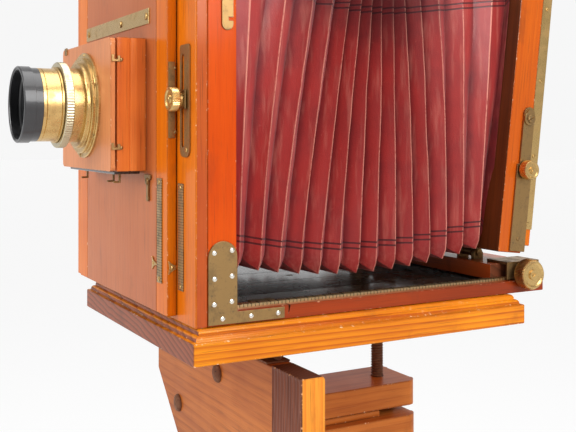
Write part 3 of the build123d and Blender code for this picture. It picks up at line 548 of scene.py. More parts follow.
class Mould:
    """One piece while it is being shaped, in metres, in the row frame."""

    def __init__(self) -> None:
        """Start empty, with a corner attribute that marks worn faces."""
        self.bm = bmesh.new()
        self.wear = self.bm.loops.layers.float.new("wear")

    def block(self, low: Vector, high: Vector) -> list:
        """A box between two corners; returns its faces."""
        low, high = Vector(low), Vector(high)
        place = Matrix.Translation((low + high) / 2) @ Matrix.Diagonal((*(high - low), 1.0))
        made = bmesh.ops.create_cube(self.bm, size=1.0, matrix=place)
        return list({face for vert in made["verts"] for face in vert.link_faces})

    def rod(self, start: Vector, end: Vector, radius: float, tip: float | None = None,
            sides: int = 16) -> list:
        """A round rod between two points; returns its vertices."""
        start, end = Vector(start), Vector(end)
        line = end - start
        place = Matrix.Translation((start + end) / 2) @ UP.rotation_difference(line).to_matrix().to_4x4()
        made = bmesh.ops.create_cone(self.bm, cap_ends=True, segments=sides, radius1=radius,
                                     radius2=radius if tip is None else tip, depth=line.length, matrix=place)
        return made["verts"]

    def turned(self, outline: list, start: Vector, axis: Vector, steps: int = 48, pitch: float = 0.0) -> list:
        """Spin an outline round an axis.

        Args:
            outline: pairs of distance along the axis and radius.
            start: where the axis begins.
            axis: its direction.
            steps: sides of the turned shape.
            pitch: climb of a thread in one turn.

        Returns:
            The new vertices.
        """
        start, axis = Vector(start), Vector(axis).normalized()
        side = axis.orthogonal().normalized()
        points = [self.bm.verts.new(start + axis * along + side * radius) for along, radius in outline]
        edges = [self.bm.edges.new(pair) for pair in zip(points, points[1:])]
        before = set(self.bm.verts) - set(points)
        bmesh.ops.spin(self.bm, geom=points + edges, cent=start, axis=axis, angle=math.tau, steps=steps,
                       dvec=axis * (pitch / steps), use_merge=not pitch, use_duplicate=False)
        made = [vert for vert in self.bm.verts if vert not in before]
        bmesh.ops.remove_doubles(self.bm, verts=made, dist=2e-6)
        made = [vert for vert in self.bm.verts if vert not in before]
        faces = list({face for vert in made for face in vert.link_faces})
        bmesh.ops.recalc_face_normals(self.bm, faces=faces)
        return made

    def flute(self, verts: list, start: Vector, axis: Vector, count: int, depth: float, least: float) -> None:
        """Press grooves along an axis into the vertices that lie further out than least."""
        start, axis = Vector(start), Vector(axis).normalized()
        side = axis.orthogonal().normalized()
        other = axis.cross(side)
        for vert in verts:
            spoke = vert.co - start
            spoke -= axis * spoke.dot(axis)
            if spoke.length > least:
                angle = math.atan2(spoke.dot(other), spoke.dot(side))
                vert.co -= spoke.normalized() * depth * (0.5 - 0.5 * math.cos(count * angle))

    def plate(self, outline: list, holes: list, origin: Vector, across: Vector, up: Vector,
              thick: float) -> list:
        """A flat plate with holes.

        Args:
            outline: points (across, up) round the plate.
            holes: lists of such points.
            origin: where (0, 0) lies, on the plate's back.
            across: direction of the first number.
            up: direction of the second number.
            thick: how far the plate rises along across x up.

        Returns:
            The new faces.
        """
        origin, across, up = Vector(origin), Vector(across), Vector(up)
        edges = []
        for loop in [outline, *holes]:
            points = [self.bm.verts.new(origin + across * a + up * b) for a, b in loop]
            edges += [self.bm.edges.new(pair) for pair in zip(points, points[1:] + points[:1])]
        facing = across.cross(up)
        filled = bmesh.ops.triangle_fill(self.bm, use_beauty=True, edges=edges, normal=facing)
        faces = [item for item in filled["geom"] if isinstance(item, bmesh.types.BMFace)]
        raised = bmesh.ops.extrude_face_region(self.bm, geom=faces, use_keep_orig=True)
        lifted = [item for item in raised["geom"] if isinstance(item, bmesh.types.BMVert)]
        bmesh.ops.translate(self.bm, verts=lifted, vec=facing * thick)
        every = list({face for vert in lifted for face in vert.link_faces} | set(faces))
        bmesh.ops.recalc_face_normals(self.bm, faces=every)
        return every

    def bevel(self, faces: list | None, width: float, segments: int = 2, least: float = 0.0) -> None:
        """Round the sharp edges of some faces, or of all, and mark the new faces as worn."""
        pool = {edge for face in (faces or self.bm.faces) for edge in face.edges}
        sharp = [edge for edge in pool if len(edge.link_faces) == 2 and edge.calc_face_angle(0) > SHARP_TURN
                 and edge.calc_length() > least]
        made = bmesh.ops.bevel(self.bm, geom=sharp, offset=width, offset_type="OFFSET", segments=segments,
                               profile=0.5, affect="EDGES", clamp_overlap=not least, material=-1)
        for face in made["faces"]:
            for loop in face.loops:
                loop[self.wear] = 1.0

    def stamp(self, pattern: bpy.types.Mesh, place: Vector, facing: Vector, turn: float = 0.0) -> None:
        """Add a copy of a small fitting, which is drawn standing on the origin and facing up."""
        before = set(self.bm.verts)
        self.bm.from_mesh(pattern)
        new = [vert for vert in self.bm.verts if vert not in before]
        matrix = (Matrix.Translation(Vector(place))
                  @ UP.rotation_difference(Vector(facing)).to_matrix().to_4x4()
                  @ Matrix.Rotation(turn, 4, "Z"))
        bmesh.ops.transform(self.bm, matrix=matrix, verts=new)

    def finish(self, name: str, material: bpy.types.Material, body: str, slot: str, replaces: tuple = (),
               weld: bool = False) -> bpy.types.Object:
        """Make the object, dress it and let it ride.

        Args:
            name: name of the piece.
            material: its finish.
            body: the body that it moves with.
            slot: the record's material slot; not used.
            replaces: nodes that it stands for.
            weld: merge doubles first.

        Returns:
            The finished object.
        """
        if weld:
            bmesh.ops.remove_doubles(self.bm, verts=self.bm.verts, dist=1e-6)
        for face in self.bm.faces:
            face.smooth = True
        for edge in self.bm.edges:
            edge.smooth = len(edge.link_faces) != 2 or edge.calc_face_angle(0) < SHARP_TURN
        mesh = bpy.data.meshes.new(name)
        self.bm.to_mesh(mesh)
        self.bm.free()
        piece = bpy.data.objects.new(name, mesh)
        bpy.context.scene.collection.objects.link(piece)
        mesh.materials.append(material)
        level = piece.modifiers.new("even_faces", "WEIGHTED_NORMAL")
        level.keep_sharp = True
        if body:
            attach(piece, body)
        if replaces:
            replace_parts(piece, *replaces)
        LOG.info("made %s", name)
        return piece


class Fittings:
    """Small fittings that repeat: slotted screw heads, round nails and domed rivets."""

    def __init__(self) -> None:
        """Draw each fitting once."""
        self.nail = self._dome(0.0026, 0.0011, 10)
        self.stud = self._dome(0.0019, 0.0009, 8)
        self.screw = self._slotted(0.0036, 0.0014)
        self.small_screw = self._slotted(0.0024, 0.0009)
        self.large_screw = self._slotted(0.0050, 0.0018)

    @staticmethod
    def _keep(mould: Mould, name: str) -> bpy.types.Mesh:
        """Store a mould as a mesh to copy."""
        mesh = bpy.data.meshes.new(name)
        mould.bm.to_mesh(mesh)
        mould.bm.free()
        return mesh

    def _dome(self, radius: float, rise: float, sides: int) -> bpy.types.Mesh:
        """A round nail head."""
        mould = Mould()
        outline = [(0.0, radius)] + [(rise * math.sin(a), radius * math.cos(a)) for a in (0.5, 1.0, 1.35)]
        mould.turned(outline + [(rise, 0.0)], Vector(), UP, sides)
        return self._keep(mould, "nail_head")

    def _slotted(self, radius: float, rise: float) -> bpy.types.Mesh:
        """A countersunk screw head with its slot cut across."""
        mould = Mould()
        mould.rod(Vector(), UP * rise * 0.4, radius * 0.97, sides=20)
        for side in (-1, 1):
            half = Mould()
            half.turned([(rise * 0.35, radius), (rise * 0.8, radius * 0.96), (rise, radius * 0.7),
                         (rise, 0.0)],
                        Vector(), UP, 20)
            cut = bmesh.ops.bisect_plane(half.bm, geom=half.bm.verts[:] + half.bm.edges[:] + half.bm.faces[:],
                                         plane_co=(side * radius * 0.13, 0, 0), plane_no=(-side, 0, 0),
                                         clear_outer=True)
            rim = [item for item in cut["geom_cut"] if isinstance(item, bmesh.types.BMEdge)]
            low = [edge for edge in rim if edge.is_boundary]
            walls = bmesh.ops.extrude_edge_only(half.bm, edges=low)
            for item in walls["geom"]:
                if isinstance(item, bmesh.types.BMVert):
                    item.co.z = 0.0
            bmesh.ops.recalc_face_normals(half.bm, faces=half.bm.faces)
            mould.bm.from_mesh(self._keep(half, "screw_half"))
        return self._keep(mould, "screw_head")


FITTINGS = Fittings()


def body_of(node: str) -> str:
    """The body that a node belongs to."""
    return frame["nodes"][node]["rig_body"]


def copy_solids(node: str) -> Mould:
    """A merged copy of a node, with flat faces joined."""
    mould = Mould()
    mould.bm.from_mesh(frame["nodes"][node].data)
    mould.wear = mould.bm.loops.layers.float.get("wear") or mould.bm.loops.layers.float.new("wear")
    bmesh.ops.remove_doubles(mould.bm, verts=mould.bm.verts, dist=1e-6)
    bmesh.ops.dissolve_limit(mould.bm, angle_limit=math.radians(0.6), verts=mould.bm.verts,
                             edges=mould.bm.edges)
    return mould


def worked(node: str, material: bpy.types.Material, slot: str, width: float, least: float = 0.004,
           segments: int = 2, name: str = "") -> bpy.types.Object:
    """Stand for a node with a copy whose edges are eased.

    Args:
        node: the node's name.
        material: its finish.
        slot: the record's material slot.
        width: width of the eased edge.
        least: edges shorter than this stay as they are.
        segments: facets across the eased edge.
        name: name of the piece, or the node's name with _made.

    Returns:
        The finished piece.
    """
    mould = copy_solids(node)
    mould.bevel(None, width, segments, least)
    return mould.finish(name or f"{node}_made", material, body_of(node), slot, (node,))


def arc(centre: tuple, radius: float, start: float, end: float, count: int) -> list:
    """Points along an arc, angles in degrees."""
    return [(centre[0] + radius * math.cos(math.radians(start + (end - start) * i / (count - 1))),
             centre[1] + radius * math.sin(math.radians(start + (end - start) * i / (count - 1))))
            for i in range(count)]


def stadium(half_width: float, low: float, high: float, count: int = 9) -> list:
    """A slot with round ends, standing upright about the line across = 0."""
    return (arc((0.0, high - half_width), half_width, 0, 180, count)
            + arc((0.0, low + half_width), half_width, 180, 360, count))


@dataclass
class Stand:
    """Stand head, crown, legs and tilt screw."""

    ease: float = 1.6 * MM
    thread_pitch: float = 3.4 * MM
    thread_depth: float = 1.7 * MM
    collar_wall: float = 2.5 * MM
    ridge_height: float = 1.1 * MM
    wood: Wood = STAND

    def head(self) -> None:
        """Dress the boards of the stand head."""
        cheek = self.wood.cut(Grain.X, 3)
        worked("head_cheek", cheek, self.wood.slot, self.ease)
        worked("head_upper_arm", self.wood.cut(Grain.Y, 5), self.wood.slot, self.ease)
        worked("head_lower_arm", self.wood.cut(Grain.Y, 8), self.wood.slot, self.ease)
        worked("stand_crown", self.wood.cut(Grain.Z, 11), self.wood.slot, self.ease)
        worked("table_cleat", self.wood.cut(Grain.X, 13), self.wood.slot, 0.8 * MM)
        self.ridged_post()
        worked("tilt_screw_nut", IRON_MADE, IRON.slot, 0.8 * MM)
        for node in ("cheek_hinge_leaves", "table_hinge_leaves"):
            worked(node, IRON_MADE, IRON.slot, 0.3 * MM, 0.002, 1)
        low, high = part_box("head_coach_bolts")
        bolts = Mould()
        width = (high - low).x / 2
        radius = (high.y - low.y) * 2.2
        for x, z in ((0.0, high.z - radius), (width - radius, low.z + radius),
                     (radius - width, low.z + radius)):
            rise = high.y - low.y
            outline = [(0.0, radius), (rise * 0.25, radius)]
            outline += [(rise * (0.25 + 0.75 * math.sin(a)), radius * math.cos(a)) for a in (0.4, 0.8, 1.2)]
            bolts.turned(outline + [(rise, 0.0)], Vector((x, high.y, z)), AHEAD, 28)
        bolts.finish("head_coach_bolts_made", IRON_MADE, "stand", IRON.slot, ("head_coach_bolts",))

    def ridged_post(self) -> None:
        """The side post, whose front is worn into upright ridges."""
        mould = copy_solids("head_side_post")
        mould.bevel(None, self.ease, 2, 0.004)
        low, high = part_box("head_side_post")
        for axis, count in ((RIGHT, 40), (UP, 26)):
            size = (high - low).dot(axis)
            for step in range(1, count):
                front = [face for face in mould.bm.faces if face.calc_center_median().y < low.y + 0.4 * MM]
                geom = list({item for face in front for item in (*face.verts, *face.edges, face)})
                bmesh.ops.bisect_plane(mould.bm, geom=geom, plane_co=low + axis * (size * step / count),
                                       plane_no=axis)
        inset = 2.5 * MM
        for vert in mould.bm.verts:
            inside = (low.x + inset < vert.co.x < high.x - inset
                      and low.z + inset < vert.co.z < high.z - inset)
            if vert.co.y < low.y + 0.05 * MM and inside:
                sway = noise.noise(Vector((vert.co.x * 18, 0.0, vert.co.z * 14))) * 0.006
                wave = math.sin((vert.co.x + sway) / 0.0062 * math.tau)
                vert.co.y += self.ridge_height * (0.5 + 0.5 * wave)
        for face in mould.bm.faces:
            if face.calc_center_median().y < low.y + 1.5 * MM and face.normal.y < -0.3:
                face.material_index = 1
        piece = mould.finish("head_side_post_made", RIDGED.cut(Grain.Z, 6), "stand", RIDGED.slot,
                             ("head_side_post",))
        piece.data.materials.append(BURNT.cut(Grain.Z, 8))

    def screw(self) -> None:
        """The threaded rod of the tilt screw with its hand wheel."""
        low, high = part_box("tilt_screw")
        centre = Vector(((low.x + high.x) / 2, (low.y + high.y) / 2, low.z))
        wheel_top = low.z + 16 * MM
        crest = 8.0 * MM
        rod = Mould()
        turns = int((high.z - wheel_top) / self.thread_pitch) - 1
        outline = []
        for turn in range(turns):
            foot = turn * self.thread_pitch
            outline += [(foot, crest - self.thread_depth), (foot + self.thread_pitch * 0.35, crest),
                        (foot + self.thread_pitch * 0.55, crest)]
        outline.append((turns * self.thread_pitch, crest - self.thread_depth))
        rod.turned(outline, Vector((centre.x, centre.y, wheel_top)), UP, 20, self.thread_pitch)
        rod.rod(Vector((centre.x, centre.y, wheel_top - 4 * MM)),
                Vector((centre.x, centre.y, high.z - 0.2 * MM)),
                crest - self.thread_depth * 0.9, sides=20)
        wheel = [(0.0, 0.0), (0.0, 26 * MM), (3 * MM, 31.5 * MM), (13 * MM, 31.5 * MM), (16 * MM, 26 * MM),
                 (16 * MM, 10 * MM), (18 * MM, 8.5 * MM)]
        made = rod.turned(wheel, Vector((centre.x, centre.y, low.z)), UP, 72)
        rod.flute(made, Vector((centre.x, centre.y, low.z)), UP, 6, 6 * MM, 25 * MM)
        rod.finish("tilt_screw_made", IRON_MADE, "tilt_screw", IRON.slot, ("tilt_screw",))

    def legs(self) -> None:
        """Dress the legs, with brass collars, iron shoes and knurled clamp knobs."""
        worked("leg_brackets", IRON_MADE, IRON.slot, 0.5 * MM, 0.003, 1)
        for index, name in enumerate(("front", "right", "left")):
            upper, foot, clamp = f"leg_{name}_upper", f"leg_{name}_lower", f"leg_{name}_clamp"
            body, foot_body, clamp_body = body_of(upper), body_of(foot), body_of(clamp)
            way = self._way(upper)
            wood = self.wood.cut(tuple(way), 21 + index)
            self._split(upper, way, wood, BRASS_MADE, BRASS.slot, body, "collar")
            self._split(foot, way, self.wood.cut(tuple(way), 31 + index), IRON_MADE, IRON.slot, foot_body,
                        "shoe")
            knob = copy_solids(clamp)
            knob.bevel(None, 1.0 * MM, 2, 0.0)
            knob.finish(f"{clamp}_made", BRASS_MADE, clamp_body, BRASS.slot, (clamp,))

    @staticmethod
    def _way(node: str) -> Vector:
        """Direction of a leg, from its longest edge."""
        mesh = frame["nodes"][node].data
        best = max(mesh.edges, key=lambda e: (mesh.vertices[e.vertices[0]].co
                                              - mesh.vertices[e.vertices[1]].co).length)
        first, second = (mesh.vertices[i].co for i in best.vertices)
        return (first - second).normalized() if first.z > second.z else (second - first).normalized()

    @staticmethod
    def _short_solids(mould: Mould, way: Vector) -> list:
        """Faces of every solid but the longest along a direction."""
        islands, seen = [], set()
        for start in mould.bm.verts:
            if start in seen:
                continue
            stack, group = [start], set()
            while stack:
                vert = stack.pop()
                if vert not in group:
                    group.add(vert)
                    stack += [edge.other_vert(vert) for edge in vert.link_edges]
            seen |= group
            islands.append(group)
        longest = max(islands, key=lambda g: max(v.co.dot(way) for v in g) - min(v.co.dot(way) for v in g))
        return [face for face in mould.bm.faces if face.verts[0] not in longest]

    def _split(self, node: str, way: Vector, wood: bpy.types.Material, metal: bpy.types.Material,
               metal_slot: str,
               body: str, part: str) -> None:
        """Split a leg into its wood and its metal end, in two pieces."""
        across = way.cross(UP).normalized()
        for keep_wood in (True, False):
            mould = copy_solids(node)
            if part == "collar":
                reach = [vert.co.dot(across) for vert in mould.bm.verts]
                middle, edge = ((max(reach) + min(reach)) / 2,
                                (max(reach) - min(reach)) / 2 - self.collar_wall / 2)
                metal_faces = [face for face in mould.bm.faces
                               if any(abs(vert.co.dot(across) - middle) > edge for vert in face.verts)]
            else:
                metal_faces = self._short_solids(mould, way)
            chosen = set(metal_faces)
            gone = [face for face in mould.bm.faces if (face in chosen) == keep_wood]
            bmesh.ops.delete(mould.bm, geom=gone, context="FACES")
            if keep_wood:
                mould.bevel(None, self.ease, 2, 0.012)
                mould.finish(f"{node}_made", wood, body, self.wood.slot, (node,))
            else:
                mould.finish(f"{node}_{part}", metal, body, metal_slot, (node,))

    def build(self) -> None:
        """Build the whole stand."""
        self.head()
        self.screw()
        self.legs()


@dataclass
class Table:
    """The pine table board with its stepped edge."""

    tiers: int = 2
    tier_height: float = 5.25 * MM
    tier_step: float = 6.0 * MM
    round: float = 3.8 * MM
    wood: Wood = PINE

    def build(self) -> None:
        """Build the board, tier by tier, and the fixing screw knob."""
        low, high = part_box("table_board")
        face_top = high.z - self.tiers * self.tier_height
        mould = Mould()
        faces = mould.block(low, Vector((high.x, high.y, face_top)))
        top = max(faces, key=lambda f: f.calc_center_median().z)
        rims = []
        for _ in range(self.tiers):
            bmesh.ops.inset_region(mould.bm, faces=[top], thickness=self.tier_step, depth=0.0)
            lifted = bmesh.ops.extrude_face_region(mould.bm, geom=[top])
            verts = [item for item in lifted["geom"] if isinstance(item, bmesh.types.BMVert)]
            bmesh.ops.delete(mould.bm, geom=[top], context="FACES")
            bmesh.ops.translate(mould.bm, verts=verts, vec=UP * self.tier_height)
            top = next(item for item in lifted["geom"] if isinstance(item, bmesh.types.BMFace))
            rims.append(list(top.edges))
        for rim in rims:
            made = bmesh.ops.bevel(mould.bm, geom=rim, offset=self.round, offset_type="OFFSET", segments=5,
                                   profile=0.5, affect="EDGES", clamp_overlap=True, material=-1)
            for face in made["faces"]:
                for loop in face.loops:
                    loop[mould.wear] = 0.25
        plain = [edge for edge in mould.bm.edges
                 if edge.calc_face_angle(0) > SHARP_TURN and edge.calc_length() > 0.015
                 and max(v.co.z for v in edge.verts) < face_top + 0.5 * MM]
        made = bmesh.ops.bevel(mould.bm, geom=plain, offset=1.3 * MM, offset_type="OFFSET", segments=2,
                               profile=0.5, affect="EDGES", clamp_overlap=True, material=-1)
        for face in made["faces"]:
            for loop in face.loops:
                loop[mould.wear] = 1.0
        mould.finish("table_board_made", self.wood.cut(Grain.Y, 2), "table", self.wood.slot, ("table_board",))
        knob = copy_solids("fixing_screw")
        knob.bevel(None, 0.8 * MM, 2, 0.0)
        knob.finish("fixing_screw_made", BRASS_MADE, "fixing_screw", BRASS.slot, ("fixing_screw",))


@dataclass
class Bellows:
    """The pleated leather bellows, fanned wide at the foot and bunched at the top."""

    folds: int = 14
    rear_folds: int = 3
    half_width: float = 176 * MM
    top_middle: float = 1304 * MM
    top_end: float = 1324 * MM
    foot_middle: float = 996.5 * MM
    foot_end: float = 1014.5 * MM
    side: float = 21 * MM
    corner: float = 9 * MM
    along_side: int = 30
    along_top: int = 34
    spread_linear: float = 72 * MM
    wall: float = 0.9 * MM
    phases: tuple = (0.0, 0.03, 0.16, 0.32, 0.47, 0.5, 0.53, 0.68, 0.84, 0.97)
    leather: Leather = Leather()
    axis_inset: float = 42 * MM
    foot_inset: float = 24.6 * MM

    def __post_init__(self) -> None:
        """Work out where the bellows begins and ends."""
        self.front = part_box("body_frame")[1].y + 0.6 * MM
        self.lean = BACK_LEAN
        self.axis = Vector((0.0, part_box("carriage_brasses")[1].y - self.axis_inset, TILT_AXIS_Z))
        self.rear_foot = self.axis.y - self.foot_inset

    def reach(self, share: float, height: float) -> float:
        """Place along Y of a fold.

        Args:
            share: 0 at the front and 1 at the back.
            height: 0 at the foot and 1 at the top.

        Returns:
            The place in metres.
        """
        u = 2 * share - 1
        foot_z, top_z = self.foot_end, self.top_end
        z = foot_z + (top_z - foot_z) * height
        rear = self.rear_foot + (z - self.axis.z) * math.tan(self.lean)
        level = self.front + (rear - self.front) * share
        middle = (self.front + rear) / 2 - 5 * MM * (1 - u * u)
        half = (rear - self.front) / 2
        bunched = middle + self.spread_linear * u + (half - self.spread_linear) * u ** 3
        return level + (bunched - level) * min(1.0, max(0.0, height)) ** 1.15

    def ring(self, fold: float) -> tuple[list, list]:
        """Points round the bellows at one place, and their distances from a corner."""
        share = fold / self.folds
        u = 2 * share - 1
        phase = fold % 1.0
        out = 1 - abs(2 * phase - 1)
        out = out + 0.03 * math.sin(math.tau * out)
        top = self.top_middle + (self.top_end - self.top_middle) * abs(u) ** 2.2
        foot = self.foot_middle + (self.foot_end - self.foot_middle) * u * u
        points, reaches = [], []
        corners = ((1, 0), (1, 1), (-1, 1), (-1, 0))
        counts = (self.along_side, self.along_top, self.along_side, self.along_top)
        for index, count in enumerate(counts):
            first, second = corners[index], corners[(index + 1) % 4]
            for step in range(count):
                t = step / count
                a = first[0] + (second[0] - first[0]) * t
                b = first[1] + (second[1] - first[1]) * t
                height = b
                gap = abs(self.reach(share + 0.5 / self.folds, height) - self.reach(share - 0.5 / self.folds,
                                                                                     height)) / 2
                deep = math.sqrt(max(self.side ** 2 - gap ** 2, (7 * MM) ** 2)) * 0.86
                pull = deep * (1 - out)
                size = self.half_width - pull
                low_z, high_z = foot + pull * 0.62, top - pull * 0.75
                x = size * a
                z = low_z + (high_z - low_z) * b
                length = (high_z - low_z) if index % 2 == 0 else 2 * size
                near = min(t, 1 - t) * length
                cut = max(0.0, self.corner - near) * 0.5
                if index % 2 == 0:
                    x -= math.copysign(cut, a)
                    belly = math.sin(math.pi * t)
                    x -= math.copysign(2.2 * MM * belly * (1 - out), a)
                else:
                    z += cut * (1 if b < 0.5 else -1)
                    z -= (2.5 * MM if b > 0.5 else 1.0 * MM) * math.sin(math.pi * t)
                y = self.reach(share, (z - self.foot_end) / (self.top_end - self.foot_end))
                if index % 2 == 0:
                    near = max(0.0, min(z - foot, top - z))
                place = Vector((x, y, z))
                drift = noise.noise(Vector((fold * 1.7 + 5.1, z * 9, x * 9))) * 1.7 * MM
                ease = min(1.0, share * 9, (1 - share) * 9)
                place.y += drift * ease
                place.x += noise.noise(place * 40) * 0.8 * MM * ease
                points.append(place)
                reaches.append(near)
        return points, reaches

    def part(self, first: float, last: float, name: str, collar_first: bool,
             collar_last: bool) -> bpy.types.Object:
        """One stretch of the bellows between two fold numbers."""
        stations = [k + p for k in range(int(first), int(last)) for p in self.phases] + [float(last)]
        rings = [self.ring(station) for station in stations]
        if collar_first:
            rings.insert(0, self.collar(stations[0], 1))
            stations.insert(0, stations[0])
        if collar_last:
            rings.append(self.collar(stations[-1], -1))
            stations.append(stations[-1])
        mould = Mould()
        cloth = mould.bm.loops.layers.uv.new("fold")
        count = len(rings[0][0])
        start = bmesh.ops.create_circle(mould.bm, segments=count, radius=0.1)["verts"]
        loop = list(mould.bm.edges)
        fold_of, reach_of = {}, {}
        current = start
        for index, (points, reaches) in enumerate(rings):
            if index:
                made = bmesh.ops.extrude_edge_only(mould.bm, edges=loop)
                grown = {v for v in made["geom"] if isinstance(v, bmesh.types.BMVert)}
                follow = {}
                for vert in current:
                    follow[vert] = next(edge.other_vert(vert) for edge in vert.link_edges
                                        if edge.other_vert(vert) in grown)
                current = [follow[vert] for vert in current]
                loop = [edge for edge in made["geom"] if isinstance(edge, bmesh.types.BMEdge)
                        and edge.verts[0] in grown and edge.verts[1] in grown]
            for vert, point, near in zip(current, points, reaches):
                vert.co = point
                fold_of[vert] = stations[index]
                reach_of[vert] = near
        bmesh.ops.recalc_face_normals(mould.bm, faces=mould.bm.faces)
        centre = Vector((0, (rings[0][0][0].y + rings[-1][0][0].y) / 2, 1.15))
        probe = max(mould.bm.faces, key=lambda f: f.calc_center_median().x)
        if probe.normal.dot(probe.calc_center_median() - centre) < 0:
            bmesh.ops.reverse_faces(mould.bm, faces=mould.bm.faces)
        for face in mould.bm.faces:
            for corner in face.loops:
                corner[cloth].uv = (fold_of[corner.vert], reach_of[corner.vert])
        mould.bm.normal_update()
        bmesh.ops.solidify(mould.bm, geom=mould.bm.faces[:], thickness=self.wall)
        piece = mould.finish(name, LEATHER_MADE, "", self.leather.slot, ("bellows",))
        piece.modifiers.clear()
        return piece

    def collar(self, fold: float, inward: int) -> tuple[list, list]:
        """A flat rim against a frame."""
        points, reaches = self.ring(fold)
        middle = Vector((0, 0, (self.foot_end + self.top_end) / 2))
        half_height = (self.top_end - self.foot_end) / 2
        made = []
        for point in points:
            grow = self.half_width / max(abs(point.x), 1e-6)
            rise = half_height / max(abs(point.z - middle.z), 1e-6)
            scale = min(grow, rise)
            made.append(Vector((point.x * scale, point.y + 0.2 * MM * inward, middle.z
                                + (point.z - middle.z) * scale)))
        return made, reaches

    def build(self) -> None:
        """Build the bellows in two stretches, the front folds and the rear folds."""
        cut = self.folds - self.rear_folds
        main = self.part(0, cut, "bellows_front_folds", True, False)
        rear = self.part(cut, self.folds, "bellows_rear_folds", False, True)
        low_cut = min(self.reach(cut / self.folds, h) for h in (0.0, 1.0))
        high_cut = max(self.reach(cut / self.folds, h) for h in (0.0, 1.0))
        low_cut - 2 * MM
        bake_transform(main)
        high_cut + 2 * MM
        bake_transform(rear)


def milled_knob(mould: Mould, start: Vector, axis: Vector, radius: float, thick: float, grooves: int,
                neck: float = 0.0) -> None:
    """Add a milled knob: grooved rim, dished face and a centre screw.

    Args:
        mould: where to add it.
        start: its back, on its axis.
        axis: from its back to its face.
        radius: of the rim.
        thick: of the rim.
        grooves: around the rim.
        neck: length of a narrower neck behind the rim.
    """
    lip = radius * 0.06
    outline = [(0.0, 0.0), (0.0, radius * 0.62), (neck, radius * 0.62)] if neck else [(0.0, 0.0)]
    outline += [(neck, radius - lip), (neck + lip, radius), (neck + thick - lip * 1.4, radius),
                (neck + thick, radius - lip * 1.4), (neck + thick, radius * 0.82),
                (neck + thick - lip * 1.6, radius * 0.70), (neck + thick - lip * 1.6, radius * 0.36),
                (neck + thick + lip * 0.4, radius * 0.30), (neck + thick + lip * 0.4, 0.0)]
    made = mould.turned(outline, start, axis, grooves * 4)
    mould.flute(made, start, axis, grooves, radius * 0.05, radius * 0.97)
    mould.stamp(FITTINGS.small_screw, Vector(start) + Vector(axis) * (neck + thick + lip * 0.35), axis, 0.7)


